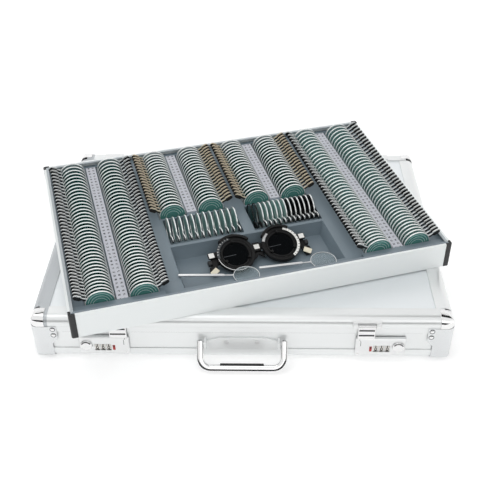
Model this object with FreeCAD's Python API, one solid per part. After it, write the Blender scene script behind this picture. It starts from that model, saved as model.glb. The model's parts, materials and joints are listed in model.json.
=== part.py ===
"""Trial lens case: a closed aluminium case with its lens tray lying turned on the lid. Millimetres.

The origin is the centre of the case's footprint on the table. +X is to the right, +Y towards the
hinges and +Z up. The tray and all that is in it are made in the tray's own frame, whose origin is
the centre of the tray's underside, and are then turned and set on the lid.
"""
import FreeCAD
import Part
import math
import os

V = FreeCAD.Vector

# Case: outer size over the corner caps, heights above the table
case_w = 540.0
case_d = 400.0
lid_top = 70.0
parting_z = 56.0

# Case sheet and profiles
cap_t = 1.2
cap_reach = 39.0
cap_narrow = 30.0
lid_cap_reach = 19.5
cap_lobe_z = 36.0
cap_gap = 0.3
cap_flats = 4
edge_r = 11.0
edge_t = 1.4
panel_t = 5.0
bottom_leg_h = 17.0
bottom_flange = 22.0
rim_h = 9.0
rim_web = 1.6
tongue_h = 3.0
tongue_t = 1.6
tongue_gap = 0.3
lid_flange = 22.5
lid_flange_t = 1.6
lid_wall = 7.0
lid_panel_t = 4.0
lid_pad_t = 3.0
lining_floor = 3.0
tray_room = 2.0
rivet_r = 3.0
rivet_t = 1.0
head_sides = 8
rivet_in = 33.5
rivet_zs = (41.6, 51.5)

# Hinges at the back
hinge_from_side = 55.0
hinge_w = 28.0
knuckle_r = 2.8
knuckle_gap = 0.4
round_sides = 12
hinge_off = 0.3
leaf_t = 1.2
leaf_h = 18.0
strap_reach = 20.0
pin_r = 1.45
pin_play = 0.05

# Locks
lock_from_side = 125.0
lock_w = 64.0
lock_z = 11.6
lock_h = 29.4
lock_proud = 4.6
lock_box_in = 5.0
lock_box_out = 0.7
lock_box_z = 15.8
lock_box_h = 21.2
lock_box_depth = 11.0
lock_room = 0.5
dial_along = 26.0
dial_pitch = 7.4
dial_z = 24.2
dial_r = 7.0
dial_w = 5.6
dial_stand = 1.0
dial_play = 0.3
window_t = 1.0
window_h = 11.2
axle_r = 1.45
button_along = 54.5
button_z = 28.0
button_r = 7.7
button_play = 0.2
button_stand = 2.2
button_len = 7.1
button_travel = 2.5
button_sides = 24

# Hasps, hinged on the lid's front
hasp_along = 12.5
hasp_w = 22.0
hasp_t = 1.6
hasp_axis_z = 62.0
hasp_axis_out = 3.8
hasp_barrel_r = 2.4
hasp_pin_r = 1.2
hasp_low = 0.6
hasp_lip_h = 1.6
hasp_slot_w = 16.0
hasp_slot_h = 2.3
hasp_slot_zs = (56.0, 47.6)
bracket_w = 36.0
bracket_t = 1.2
bracket_h = 9.0
bracket_gap = 0.4

# Carrying handle
plate_in = 12.5
plate_slope = 15.5
plate_low = 18.6
plate_high = 38.0
plate_shoulder = 33.0
plate_t = 3.2
screw_x = 19.3
screw_z = 32.5
screw_r = 3.2
screw_t = 1.4
ear_t = 3.0
ear_gap = 0.4
pivot_y_out = 5.2
pivot_z = 32.6
pivot_r = 2.2
bail_half = 58.0
bail_arm = 8.8
bail_reach = 37.0
bail_bar = 10.0
bail_tail = 5.0
bail_t = 8.0
bail_outer_r = 18.0
bail_inner_r = 11.0
table_gap = 0.3
bore_spare = 0.5
grip_in = 30.0
grip_t = 1.2

# Tray, and how it lies on the lid
tray_in_w = 35.0
tray_in_d = 57.0
tray_h = 37.0
tray_turn = 16.7
tray_x = -13.7
tray_y = 2.2
rail_t = 2.0
rail_lip = 3.4
rail_lip_t = 1.4
rail_foot = 8.0
rail_foot_t = 1.5
corner_proud = 0.4
corner_wall = 2.6
corner_r = 3.0
board_t = 1.5
insert_inset = 2.8
insert_top = 30.0
insert_slab = 8.5
insert_wall = 3.0

# Lenses in the columns
lens_r = 19.0
lens_t = 2.6
lens_sides = 7
lens_z = 29.5
tab_apart = 0.2
tab_half = 4.2
tab_lift = 28.0
seat_gap = 0.25
pair_spare = 13.8
column_off = 27.5
column_back_in = 15.0
column_front_in = 15.5
short_front_in = 176.5
column_ends = 4.8
long_count = 40
short_count = 20
long_spread = 1.5
trough_half = 19.6
trough_knee = 22.0
trough_floor_half = 9.5
strip_w = 14.0
strip_t = 2.0
strip_back_in = 6.5

# Rows of prisms and accessory lenses in front of the short columns
row_in = 148.5
row_z = 23.0
row_lift = 12.0
row_back_in = 168.5
row_tab_floor = 18.6
row_front_in = 111.0
row_floor_t = 0.7
prism_x = (-101.0, -7.0)
prism_count = 12
prism_t = 3.4
accessory_x = (17.0, 106.0)
accessory_count = 14
accessory_t = 2.2
row_margin = 4.0
row_strip_half = 22.0

# Recess for the trial frame
recess_x = (-107.0, 109.0)
recess_in = (19.5, 105.5)
recess_floor = 10.0
recess_draft = 5.0

# Trial frame: x across the wearer's eyes, y up, z out of the front
frame_x = 6.5
frame_tilt = 22.0
frame_turn = 3.8
frame_lean = 1.2
frame_seat = 0.2
eye_from_end = 28.0
eye_r = 26.0
eye_hole_r = 21.0
eye_t = 6.0
eye_sides = 20
crest_out = 3.5
crest_t = 8.5
crest_from = 52.0
crest_to = 142.0
crest_steps = 6
side_plate_w = 11.0
side_plate_h = 8.5
side_plate_y = 2.0
side_plate_t = 2.5
cell_r = 20.6
cell_hole_r = 18.0
cell_t = 5.0
cell_lens_t = 2.0
cell_clip = 3.0
bar_half = 60.0
bar_y = (3.0, 11.0)
bar_t = 4.0
bar_gap = 0.3
bridge_w = 9.0
bridge_drop = 3.0
nose_half = 7.0
nose_drop = 5.0
nose_slant = 6.0
nose_pad_h = 8.0
nose_pad_t = 3.0
temple_t = 2.0
temple_w = 3.2
temple_gap = 0.3
temple_in = 1.0
temple_len = 98.0
temple_hook = 12.0
temple_drop = 5.6
sleeve_drop = 15.0
sleeve_w = 6.5
sleeve_into = 1.0
sleeve_out = 4.0
tilt_knob_r = 4.5
tilt_knob_out = 7.0
tilt_knob_y = -12.5
hinge_block = 6.0
knob_y = -2.6
knob_r = 4.0
knob_t = 5.0
knob_sides = 10

# Cross cylinders lying on the front edge of the recess
cross_r = 17.0
cross_rim = 1.8
cross_t = 4.0
cross_sides = 20
rod_sides = 8
cross_glass_t = 1.6
cross_neck = 12.0
cross_neck_r = 1.0
cross_rod_r = 2.0
left_cross = (-25.7, 19.5)
left_cross_end = (-109.5, 43.0)
right_cross = (78.6, 20.0)
right_cross_end = (-6.4, 28.5)

# Worked out from the sizes above
hw = case_w / 2 - cap_t
hd = case_d / 2 - cap_t
hinge_x = case_w / 2 - hinge_from_side
lock_in = case_w / 2 - lock_from_side
dial_x = lock_in + dial_along
button_x = lock_in + button_along
hasp_x = lock_in + hasp_along
plate_half = bail_half - plate_in
plate_flat = plate_half - plate_slope
grip_half = bail_half - grip_in
foot = cap_t
leg = edge_t + panel_t
panel_y = hd - edge_t
bottom_leg_top = foot + bottom_leg_h
floor_top = foot + leg
lid_panel_top = lid_top - lid_flange_t
lid_panel_low = lid_panel_top - lid_panel_t
hinge_y = hd + hinge_off + knuckle_r
lock_face = hd + lock_proud
dial_y = lock_face + dial_stand - dial_r
hasp_y = hd + hasp_axis_out
pivot_y = hd + pivot_y_out
board_top = rail_foot_t + board_t
tray_w = case_w - tray_in_w
tray_d = case_d - tray_in_d
front_y = -tray_d / 2
pair_pitch = (tray_w - pair_spare) / 4
tab_room = pair_pitch / 2 - column_off - tab_apart / 2 - tab_half * math.sin(math.radians(tab_lift))
tab_reach = tab_room / math.cos(math.radians(tab_lift))
column_back = tray_d / 2 - column_back_in
column_front = front_y + column_front_in
short_front = front_y + short_front_in
strip_back = tray_d / 2 - strip_back_in
row_y = front_y + row_in
row_back = front_y + row_back_in
row_front = front_y + row_front_in
recess_y = (front_y + recess_in[0], front_y + recess_in[1])
eye_half = bar_half - eye_from_end
sleeve_low = knob_y - knob_r - sleeve_drop
frame_back = bar_t + bar_gap + frame_lean

os.makedirs("parts", exist_ok=True)


# Helpers

def box(x0, x1, y0, y1, z0, z1):
    """Box between two values on each axis, given in either order."""
    low = V(min(x0, x1), min(y0, y1), min(z0, z1))
    return Part.makeBox(abs(x1 - x0), abs(y1 - y0), abs(z1 - z0), low)


def outline(*steps):
    """Closed wire: each step is a point, or a pair of a point on an arc and the arc's end."""
    edges = []
    last = steps[0]
    for step in steps[1:] + (steps[0],):
        if isinstance(step, tuple):
            edges.append(Part.Arc(last, step[0], step[1]).toShape())
            last = step[1]
        else:
            edges.append(Part.LineSegment(last, step).toShape())
            last = step
    return Part.Wire(edges)


def extrude(wire, direction):
    """Solid swept straight from a closed flat wire."""
    return Part.Face(wire).extrude(direction)


def regular(centre, r, sides, axis, start=0.0):
    """Closed regular polygon about an X, Y or Z axis, with its corners at radius r."""
    points = []
    for k in range(sides):
        a = math.radians(start + 360.0 * k / sides)
        p = r * math.cos(a)
        q = r * math.sin(a)
        points.append(centre + {"X": V(0, p, q), "Y": V(q, 0, p), "Z": V(p, q, 0)}[axis])
    return outline(*points)


def flats_r(r, sides):
    """Corner radius of a polygon whose flats lie at radius r."""
    return r / math.cos(math.pi / sides)


def round_bar(start, r, length, axis, sides):
    """Bar with flats inside radius r, from its start along an axis."""
    way = {"X": V(length, 0, 0), "Y": V(0, length, 0), "Z": V(0, 0, length)}[axis]
    return extrude(regular(start, r, sides, axis), way)


def bore_x(start, r, length):
    """Cutter along X for a bore whose flats lie at radius r."""
    return round_bar(start, flats_r(r, round_sides), length, "X", round_sides)


def turned(shape, degrees):
    """Copy turned about the vertical through the origin."""
    copy = shape.copy()
    copy.rotate(V(0, 0, 0), V(0, 0, 1), degrees)
    return copy


def moved(shape, x, y, z):
    """Copy moved by x, y and z."""
    copy = shape.copy()
    copy.translate(V(x, y, z))
    return copy


def other_side(shape):
    """Mirror image on the other side of the case's middle plane."""
    return shape.mirror(V(0, 0, 0), V(1, 0, 0))


def fuse(first, *rest):
    """One solid out of several that touch or overlap, without seams."""
    return first.fuse(list(rest)).removeSplitter()


def save(name, *solids):
    """Write one node: a solid, or a group of separate solids."""
    shape = solids[0] if len(solids) == 1 else Part.makeCompound(list(solids))
    shape.exportStep("parts/" + name + ".step")


tray_place = FreeCAD.Placement(V(tray_x, tray_y, lid_top), FreeCAD.Rotation(V(0, 0, 1), tray_turn))


def save_in_tray(name, *solids):
    """Write a node that was made in the tray's frame."""
    placed = []
    for solid in solids:
        copy = solid.copy()
        copy.Placement = tray_place.multiply(copy.Placement)
        placed.append(copy)
    save(name, *placed)


# Edge profiles of the case: u runs inwards from the outer face, z up

def at(half, u, z):
    """Point of a front profile's section, on the side whose outer face is half away."""
    return V(0, u - half, z)


def run(section, half, reach):
    """Length of profile along the front, reach each way from the middle."""
    wire = section(half)
    wire.translate(V(-reach, 0, 0))
    return extrude(wire, V(2 * reach, 0, 0))


def four_runs(section, half_w, half_d, end, butt):
    """Profile on all four sides: the side lengths stop short of the front and back ones."""
    front = run(section, half_d, half_w - end)
    side = run(section, half_w, half_d - butt)
    return [front, turned(side, 90), turned(front, 180), turned(side, 270)]


def bottom_section(half):
    """Rounded bottom profile with a leg up the wall, a flange under the floor and a solid corner."""
    bend = edge_r * (1 - math.sqrt(0.5))
    return outline(
        at(half, 0, bottom_leg_top),
        at(half, 0, foot + edge_r),
        (at(half, bend, foot + bend), at(half, edge_r, foot)),
        at(half, bottom_flange, foot),
        at(half, bottom_flange, foot + edge_t),
        at(half, edge_r, foot + edge_t),
        at(half, edge_r, floor_top),
        at(half, leg, floor_top),
        at(half, leg, foot + edge_r),
        at(half, edge_t, foot + edge_r),
        at(half, edge_t, bottom_leg_top))


def rim_section(half):
    """Profile on the wall's top edge, with the tongue that the lid closes over."""
    tongue = lid_wall + tongue_gap
    return outline(
        at(half, 0, parting_z - rim_h),
        at(half, 0, parting_z),
        at(half, tongue, parting_z),
        at(half, tongue, parting_z + tongue_h),
        at(half, tongue + tongue_t, parting_z + tongue_h),
        at(half, tongue + tongue_t, parting_z - rim_web),
        at(half, edge_t, parting_z - rim_web),
        at(half, edge_t, parting_z - rim_h))


def lid_section(half):
    """Lid profile: the lid's side wall, its rounded shoulder and the flange over the top panel."""
    bend = edge_r * (1 - math.sqrt(0.5))
    return outline(
        at(half, 0, parting_z),
        at(half, 0, lid_top - edge_r),
        (at(half, bend, lid_top - bend), at(half, edge_r, lid_top)),
        at(half, lid_flange, lid_top),
        at(half, lid_flange, lid_panel_top),
        at(half, lid_wall, lid_panel_top),
        at(half, lid_wall, parting_z))


# Corner caps

def eased_corner(inset, far_p, far_q, r):
    """Corners of a rectangle whose low corner is rounded by flats that touch the radius."""
    corners = [(far_p, inset), (far_p, far_q), (inset, far_q)]
    for k in range(cap_flats):
        a = math.radians(90.0 * (k + 0.5) / cap_flats)
        reach = r / math.cos(math.radians(45.0 / cap_flats))
        corners.append((inset + r - reach * math.cos(a), inset + r - reach * math.sin(a)))
    return corners


def rounded_corner(inset, size, height, r):
    """Block with its low corner at the inset and the three edges that meet there rounded."""
    plan = [V(p, q, inset) for p, q in eased_corner(inset, size, size, r)]
    front = [V(p, inset, q) for p, q in eased_corner(inset, size, height, r)]
    side = [V(inset, p, q) for p, q in eased_corner(inset, size, height, r)]
    block = extrude(outline(*plan), V(0, 0, height - inset))
    block = block.common(extrude(outline(*front), V(0, size - inset, 0)))
    return block.common(extrude(outline(*side), V(size - inset, 0, 0)))


def cap_shell(height):
    """Pressed corner cap over three faces, its corner at the origin and its height up Z."""
    outer = rounded_corner(0, cap_reach, height, edge_r + cap_t)
    inner = rounded_corner(cap_t, cap_reach + cap_t, height + cap_t, edge_r)
    shell = outer.cut(inner)
    slope = cap_reach - cap_narrow
    cut = extrude(outline(V(cap_narrow, -1, -1), V(cap_reach + 1, -1, -1),
                          V(cap_reach + 1, -1, cap_lobe_z), V(cap_narrow, -1, cap_lobe_z - slope)),
                  V(0, cap_reach + 2, 0))
    across = turned(cut, 90).mirror(V(0, 0, 0), V(1, 0, 0))
    toe = extrude(outline(V(cap_narrow + 1, edge_r, -1), V(cap_narrow + 1, cap_narrow + 1, -1),
                          V(edge_r, cap_narrow + 1, -1)), V(0, 0, cap_t + 2))
    return shell.cut([cut, across, toe])


def lid_cap_shell(height):
    """Small round corner cap of the lid, made upside down like the base's."""
    outer = rounded_corner(0, lid_cap_reach, height, edge_r + cap_t)
    inner = rounded_corner(cap_t, lid_cap_reach + cap_t, height + cap_t, edge_r)
    return outer.cut(inner)


def at_corners(shell):
    """The same cap on each of the four corners."""
    places = []
    for turn, sx, sy in ((0, -1, -1), (90, 1, -1), (180, 1, 1), (270, -1, 1)):
        places.append(moved(turned(shell, turn), sx * case_w / 2, sy * case_d / 2, 0))
    return places


def rivets():
    """Rivet heads on the base caps: two on each flange that faces front, back or a side."""
    heads = []
    for z in rivet_zs:
        for sx in (-1, 1):
            x = sx * (case_w / 2 - rivet_in)
            for y in (-case_d / 2 - rivet_t, case_d / 2):
                heads.append(round_bar(V(x, y, z), rivet_r, rivet_t, "Y", head_sides))
    return heads


# Base of the case

def lock_pockets(room):
    """Spaces in the front wall for the backs of the two locks."""
    right = box(lock_in + lock_box_in - room, lock_in + lock_w - lock_box_out + room,
                -hd - 1, -hd + lock_box_depth + room,
                lock_box_z - room, lock_box_z + lock_box_h + room)
    return [right, other_side(right)]


def make_base():
    """Walls, floor, profiles, caps, rivets and lining of the case's lower half."""
    pockets = lock_pockets(lock_room)
    top = parting_z - rim_web
    front = box(-hw + edge_r, hw - edge_r, -panel_y, -panel_y + panel_t, foot + edge_r, top)
    back = turned(front, 180)
    right = box(hw - edge_t, hw - leg, -hd + edge_r, hd - edge_r, foot + edge_r, top)
    save("base_wall_panels", front.cut(pockets), back, right, other_side(right))
    save("base_floor_panel", box(-hw + edge_r, hw - edge_r, -hd + edge_r, hd - edge_r,
                                 foot + edge_t, floor_top))
    bottom = four_runs(bottom_section, hw, hd, edge_r, bottom_flange)
    save("base_bottom_edges", bottom[0].cut(pockets), *bottom[1:])
    save("base_rim_edges", *four_runs(rim_section, hw, hd, edge_r, edge_r))
    save("base_corner_caps", *at_corners(cap_shell(parting_z - cap_gap / 2)))
    save("base_cap_rivets", *rivets())
    tub = box(-hw + leg, hw - leg, -hd + leg, hd - leg, floor_top, top)
    pocket_w = tray_w / 2 + tray_room
    pocket_d = tray_d / 2 + tray_room
    room = box(-pocket_w, pocket_w, -pocket_d, pocket_d, floor_top + lining_floor, top + 1)
    save("base_lining", tub.cut([room] + pockets))


# Lid

def make_lid():
    """Profiles, top panel, caps and lining of the lid."""
    save("lid_edges", *four_runs(lid_section, hw, hd, edge_r, lid_flange))
    save("lid_top_panel", box(-hw + edge_r, hw - edge_r, -hd + edge_r, hd - edge_r,
                              lid_panel_low, lid_panel_top))
    save("lid_lining", box(-hw + edge_r, hw - edge_r, -hd + edge_r, hd - edge_r,
                           lid_panel_low - lid_pad_t, lid_panel_low))
    cap_top = lid_top + cap_t
    low = lid_cap_shell(cap_top - parting_z - cap_gap / 2)
    caps = at_corners(low)
    flipped = [cap.mirror(V(0, 0, 0), V(0, 0, 1)) for cap in caps]
    save("lid_corner_caps", *[moved(cap, 0, 0, cap_top) for cap in flipped])


# Hinges

def knuckle(x0, x1):
    """Hinge knuckle between two places along the hinge line, bored for the pin."""
    start = V(x0, hinge_y, parting_z)
    barrel = round_bar(start, knuckle_r, x1 - x0, "X", round_sides)
    return barrel.cut(bore_x(start, pin_r + pin_play, x1 - x0))


def hinge_spans():
    """Three knuckles' ends along one hinge, with a gap between each."""
    pitch = (hinge_w + knuckle_gap) / 3
    start = hinge_x - hinge_w / 2
    return [(start + k * pitch, start + (k + 1) * pitch - knuckle_gap) for k in range(3)]


def base_leaf():
    """Leaf on the base's back with the two outer knuckles."""
    spans = hinge_spans()
    clear = knuckle_r + knuckle_gap
    pieces = [box(spans[0][0], spans[2][1], hd, hd + leaf_t, parting_z - leaf_h, parting_z - clear)]
    for x0, x1 in (spans[0], spans[2]):
        pieces.append(box(x0, x1, hd, hd + leaf_t, parting_z - clear, parting_z))
        pieces.append(knuckle(x0, x1))
    return fuse(*pieces).cut(bore_x(V(spans[0][0], hinge_y, parting_z), pin_r + pin_play, hinge_w))


def lid_strap():
    """Leaf that follows the lid's rounded shoulder up to the top, with the middle knuckle."""
    spans = hinge_spans()
    x0 = spans[0][0]
    shoulder = lid_top - edge_r
    centre = hd - edge_r
    inner = edge_r * math.sqrt(0.5)
    outer = (edge_r + leaf_t) * math.sqrt(0.5)
    wire = outline(
        V(x0, hd, shoulder),
        (V(x0, centre + inner, shoulder + inner), V(x0, centre, lid_top)),
        V(x0, hd - strap_reach, lid_top),
        V(x0, hd - strap_reach, lid_top + leaf_t),
        V(x0, centre, lid_top + leaf_t),
        (V(x0, centre + outer, shoulder + outer), V(x0, hd + leaf_t, shoulder)))
    strap = extrude(wire, V(hinge_w, 0, 0))
    mid0, mid1 = spans[1]
    tab = box(mid0, mid1, hd, hd + leaf_t, parting_z, shoulder)
    bore = bore_x(V(x0, hinge_y, parting_z), pin_r + pin_play, hinge_w)
    return fuse(strap, tab, knuckle(mid0, mid1)).cut(bore)


def make_hinges():
    """Two hinges: leaves on the base, straps on the lid and pins."""
    pin = round_bar(V(hinge_x - hinge_w / 2, hinge_y, parting_z), pin_r, hinge_w, "X", round_sides)
    save("hinge_base_leaves", base_leaf(), other_side(base_leaf()))
    save("hinge_lid_straps", lid_strap(), other_side(lid_strap()))
    save("hinge_pins", pin, other_side(pin))


# Locks, made on the right and mirrored to the left

def dial_ends(k):
    """Ends along X of a dial, counted from the middle of the case outwards."""
    middle = dial_x + k * dial_pitch
    return middle - dial_w / 2, middle + dial_w / 2


def dial(k):
    """Ten-sided number wheel with a bore for the axle."""
    x0, x1 = dial_ends(k)
    wheel = extrude(regular(V(x0, -dial_y, dial_z), dial_r, 10, "X", 18), V(dial_w, 0, 0))
    return wheel.cut(bore_x(V(x0, -dial_y, dial_z), axle_r + pin_play, dial_w))


def dial_room_ends():
    """Ends along X of the space that the three dials turn in."""
    return dial_ends(0)[0] - dial_play, dial_ends(2)[1] + dial_play


def lock_case():
    """Lock: a face plate, a box behind it, three dial windows and the button's bore."""
    plate = box(lock_in, lock_in + lock_w, -lock_face, -hd, lock_z, lock_z + lock_h)
    top_edges = [e for e in plate.Edges if abs(e.BoundBox.YMax + lock_face) < 1e-6]
    plate = plate.makeChamfer(1.0, top_edges)
    back = box(lock_in + lock_box_in, lock_in + lock_w - lock_box_out, -hd - 1,
               -hd + lock_box_depth, lock_box_z, lock_box_z + lock_box_h)
    x0, x1 = dial_room_ends()
    reach = dial_r + dial_play
    cuts = [box(x0, x1, -lock_face + window_t, -dial_y + reach, dial_z - reach, dial_z + reach)]
    for k in range(3):
        w0, w1 = dial_ends(k)
        cuts.append(box(w0 - dial_play, w1 + dial_play, -lock_face - 1, -lock_face + window_t + 1,
                        dial_z - window_h / 2, dial_z + window_h / 2))
    bore_r = flats_r(button_r + button_play, button_sides)
    depth = button_len - button_stand + button_travel + 0.4
    bore = regular(V(button_x, -lock_face - 1, button_z), bore_r, button_sides, "Y")
    cuts.append(extrude(bore, V(0, depth + 1, 0)))
    return fuse(plate, back).cut(cuts)


def lock_button():
    """Round push button, a little dished on its face."""
    wire = regular(V(button_x, -lock_face - button_stand, button_z), button_r, button_sides, "Y")
    return extrude(wire, V(0, button_len, 0))


def lock_axle():
    """Axle that the three dials turn on, held between the walls of their space."""
    x0, x1 = dial_room_ends()
    return round_bar(V(x0, -dial_y, dial_z), axle_r, x1 - x0, "X", round_sides)


def make_locks():
    """Both locks with their buttons, dials and axles."""
    save("lock_case_right", lock_case())
    save("lock_case_left", other_side(lock_case()))
    save("lock_button_right", lock_button())
    save("lock_button_left", other_side(lock_button()))
    save("lock_axles", lock_axle(), other_side(lock_axle()))
    for k in range(3):
        save("dial_right_%d" % (k + 1), dial(k))
        save("dial_left_%d" % (k + 1), other_side(dial(k)))


# Hasps

def hasp_bracket():
    """Bracket on the lid's front: a plate shaped to the profile, two lugs and the pin."""
    x0 = hasp_x - bracket_w / 2
    x1 = hasp_x + bracket_w / 2
    low = hasp_axis_z - bracket_h / 2
    plate = box(x0, x1, -hd - bracket_t, -hd + edge_r / 2, low, low + bracket_h)
    lug_out = hasp_y + hasp_barrel_r
    lug = hasp_barrel_r
    inner0 = hasp_x - hasp_w / 2 - bracket_gap
    inner1 = hasp_x + hasp_w / 2 + bracket_gap
    left = box(x0, inner0, -lug_out, -hd, hasp_axis_z - lug, hasp_axis_z + lug)
    right = box(inner1, x1, -lug_out, -hd, hasp_axis_z - lug, hasp_axis_z + lug)
    pin = round_bar(V(inner0 - 1, -hasp_y, hasp_axis_z), hasp_pin_r, inner1 - inner0 + 2, "X",
                    round_sides)
    profile = run(lid_section, hd, hw - edge_r)
    inside = box(x0 - 1, x1 + 1, -hd + lid_wall - 1, -hd + edge_r, low - 1, low + bracket_h + 1)
    return fuse(plate, left, right, pin).cut([profile, inside])


def hasp():
    """Slotted hasp plate with its barrel on top and a lip that rests over the lock's edge."""
    x0 = hasp_x - hasp_w / 2
    low = lock_z + lock_h + hasp_low
    barrel = round_bar(V(x0, -hasp_y, hasp_axis_z), hasp_barrel_r, hasp_w, "X", round_sides)
    plate = box(x0, x0 + hasp_w, -hasp_y - hasp_t / 2, -hasp_y + hasp_t / 2, low, hasp_axis_z)
    lip = box(x0, x0 + hasp_w, -hasp_y, -hd - 0.2, low, low + hasp_lip_h)
    cuts = [bore_x(V(x0, -hasp_y, hasp_axis_z), hasp_pin_r + pin_play, hasp_w)]
    for z in hasp_slot_zs:
        cuts.append(box(hasp_x - hasp_slot_w / 2, hasp_x + hasp_slot_w / 2, -hasp_y - hasp_t,
                        -hasp_y + hasp_t, z - hasp_slot_h / 2, z + hasp_slot_h / 2))
    return fuse(barrel, plate, lip).cut(cuts)


def make_hasps():
    """Hasps and their brackets on both sides."""
    save("hasp_brackets", hasp_bracket(), other_side(hasp_bracket()))
    save("hasp_right", hasp())
    save("hasp_left", other_side(hasp()))


# Carrying handle

def handle_plate():
    """Plate on the front panel with an ear and a pivot at each end."""
    back = -panel_y
    plate = extrude(outline(
        V(-plate_half, back, plate_low), V(plate_half, back, plate_low),
        V(plate_half, back, plate_shoulder), V(plate_flat, back, plate_high),
        V(-plate_flat, back, plate_high), V(-plate_half, back, plate_shoulder)),
        V(0, -plate_t, 0))
    rise = bail_tail
    ear = box(plate_half, plate_half + ear_t, back, -pivot_y - rise, pivot_z - rise, pivot_z + rise)
    arm_in = bail_half - bail_arm
    pivot = round_bar(V(plate_half, -pivot_y, pivot_z), pivot_r, arm_in + bail_arm / 2 - plate_half,
                      "X", round_sides)
    side = fuse(ear, pivot)
    return fuse(plate, side, other_side(side))


def handle_angle():
    """Angle of the bail's arms from straight down, so that its bar just clears the table."""
    half = bail_t / 2
    slant = math.hypot(bail_reach, half)
    return math.degrees(math.atan2(half, bail_reach) + math.acos((pivot_z - table_gap) / slant))


def hang(shape):
    """Turn a piece made straight down from the pivots out to where the handle lies."""
    copy = shape.copy()
    copy.rotate(V(0, -pivot_y, pivot_z), V(-1, 0, 0), handle_angle())
    return copy


def bail():
    """Bail handle: two arms and a bar with rounded corners, bored for the pivots."""
    def spot(x, r):
        return V(x, -pivot_y - bail_t / 2, pivot_z - r)

    def corner(half, reach, r, side):
        k = r * (1 - math.sqrt(0.5))
        mid = spot(side * (half - k), reach - k)
        if side > 0:
            return spot(half, reach - r), (mid, spot(half - r, reach))
        return spot(-half + r, reach), (mid, spot(-half, reach - r))

    inner_half = bail_half - bail_arm
    inner_reach = bail_reach - bail_bar
    outer = outline(spot(-bail_half, -bail_tail), spot(bail_half, -bail_tail),
                    *corner(bail_half, bail_reach, bail_outer_r, 1),
                    *corner(bail_half, bail_reach, bail_outer_r, -1))
    inner = outline(spot(-inner_half, -bail_tail - 1), spot(inner_half, -bail_tail - 1),
                    *corner(inner_half, inner_reach, bail_inner_r, 1),
                    *corner(inner_half, inner_reach, bail_inner_r, -1))
    body = extrude(outer, V(0, bail_t, 0)).cut(extrude(inner, V(0, bail_t, 0)))
    depth = bail_arm / 2 + bore_spare
    bores = [bore_x(V(inner_half, -pivot_y, pivot_z), pivot_r + pin_play, depth),
             bore_x(V(-inner_half, -pivot_y, pivot_z), pivot_r + pin_play, -depth)]
    return hang(body.cut(bores))


def make_handle():
    """Handle plate, its screws, the bail and the grip strip inside the bar."""
    save("handle_plate", handle_plate())
    face = -panel_y - plate_t
    heads = [round_bar(V(x, face, screw_z), screw_r, -screw_t, "Y", round_sides)
             for x in (-screw_x, screw_x)]
    save("handle_screws", *heads)
    save("handle_bail", bail())
    top = bail_reach - bail_bar
    strip = box(-grip_half, grip_half, -pivot_y - bail_t / 2 + 0.5, -pivot_y + bail_t / 2 - 0.5,
                pivot_z - top, pivot_z - top + grip_t)
    save("handle_grip", hang(strip))


# Tray

def rail_section(half):
    """Tray rail: a thin wall with a lip on top and a foot that carries the board."""
    return outline(
        at(half, 0, 0),
        at(half, 0, tray_h),
        at(half, rail_lip, tray_h),
        at(half, rail_lip, tray_h - rail_lip_t),
        at(half, rail_t, tray_h - rail_lip_t),
        at(half, rail_t, rail_foot_t),
        at(half, rail_foot, rail_foot_t),
        at(half, rail_foot, 0))


def tray_corner():
    """Moulded corner piece round the ends of two rails."""
    low = -corner_proud
    plan = [V(p, q, 0) for p, q in eased_corner(low, rail_foot, rail_foot, corner_r)]
    post = extrude(outline(*plan), V(0, 0, tray_h + corner_proud))
    return post.cut(box(corner_wall, rail_foot + 1, corner_wall, rail_foot + 1, -1, tray_h + 1))


def tray_corners():
    """The corner piece at each of the tray's corners."""
    places = []
    for turn, sx, sy in ((0, -1, -1), (90, 1, -1), (180, 1, 1), (270, -1, 1)):
        places.append(moved(turned(tray_corner(), turn), sx * tray_w / 2, sy * tray_d / 2, 0))
    return places


def pair_centres():
    """Centre of each pair of columns, from left to right."""
    return [pair_pitch * k for k in (-1.5, -0.5, 0.5, 1.5)]


def columns():
    """Every lens column: its centre, which way its tabs point and whether it is a long one."""
    found = []
    for k, centre in enumerate(pair_centres()):
        long_one = k in (0, 3)
        found.append((centre - column_off, -1, long_one))
        found.append((centre + column_off, 1, long_one))
    return found


def lens_points(lift):
    """Corners of a lens seen along its axis: a ring with a tab that points to +x, lifted."""
    step = 360.0 / lens_sides
    corners = []
    for k in range(lens_sides):
        a = math.radians(lift + step * (k + 0.5))
        corners.append((lens_r * math.cos(a), lens_r * math.sin(a)))
    c = math.cos(math.radians(lift))
    s = math.sin(math.radians(lift))
    for side in (-1, 1):
        corners.append((tab_reach * c - side * tab_half * s, tab_reach * s + side * tab_half * c))
    return corners


def seat_depth(lift):
    """How far below its centre a lens reaches."""
    return -min(q for p, q in lens_points(lift))


def trough(x, front):
    """Space in the insert for a column of lenses."""
    floor = lens_z - seat_depth(tab_lift) - seat_gap
    y0 = front - column_ends
    wire = outline(
        V(x - trough_half, y0, insert_top + 1), V(x - trough_half, y0, trough_knee),
        V(x - trough_floor_half, y0, floor), V(x + trough_floor_half, y0, floor),
        V(x + trough_half, y0, trough_knee), V(x + trough_half, y0, insert_top + 1))
    return extrude(wire, V(0, column_back + column_ends - y0, 0))


def row_room(span):
    """Space in the insert for a row of lenses that stand across it, deep under the rings."""
    x0 = span[0] - row_margin
    x1 = span[1] + row_margin
    floor = row_z - seat_depth(row_lift) - seat_gap
    deep = box(x0, x1, row_y - lens_r - 0.5, row_back, floor, insert_top + 1)
    return deep.fuse(box(x0, x1, row_front, row_back, row_tab_floor, insert_top + 1))


def row_pod(span):
    """Part of the insert that reaches down to the board below a row."""
    return box(span[0] - row_margin - insert_wall, span[1] + row_margin + insert_wall,
               row_y - lens_r - insert_wall, row_back + insert_wall, board_top, insert_slab)


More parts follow.
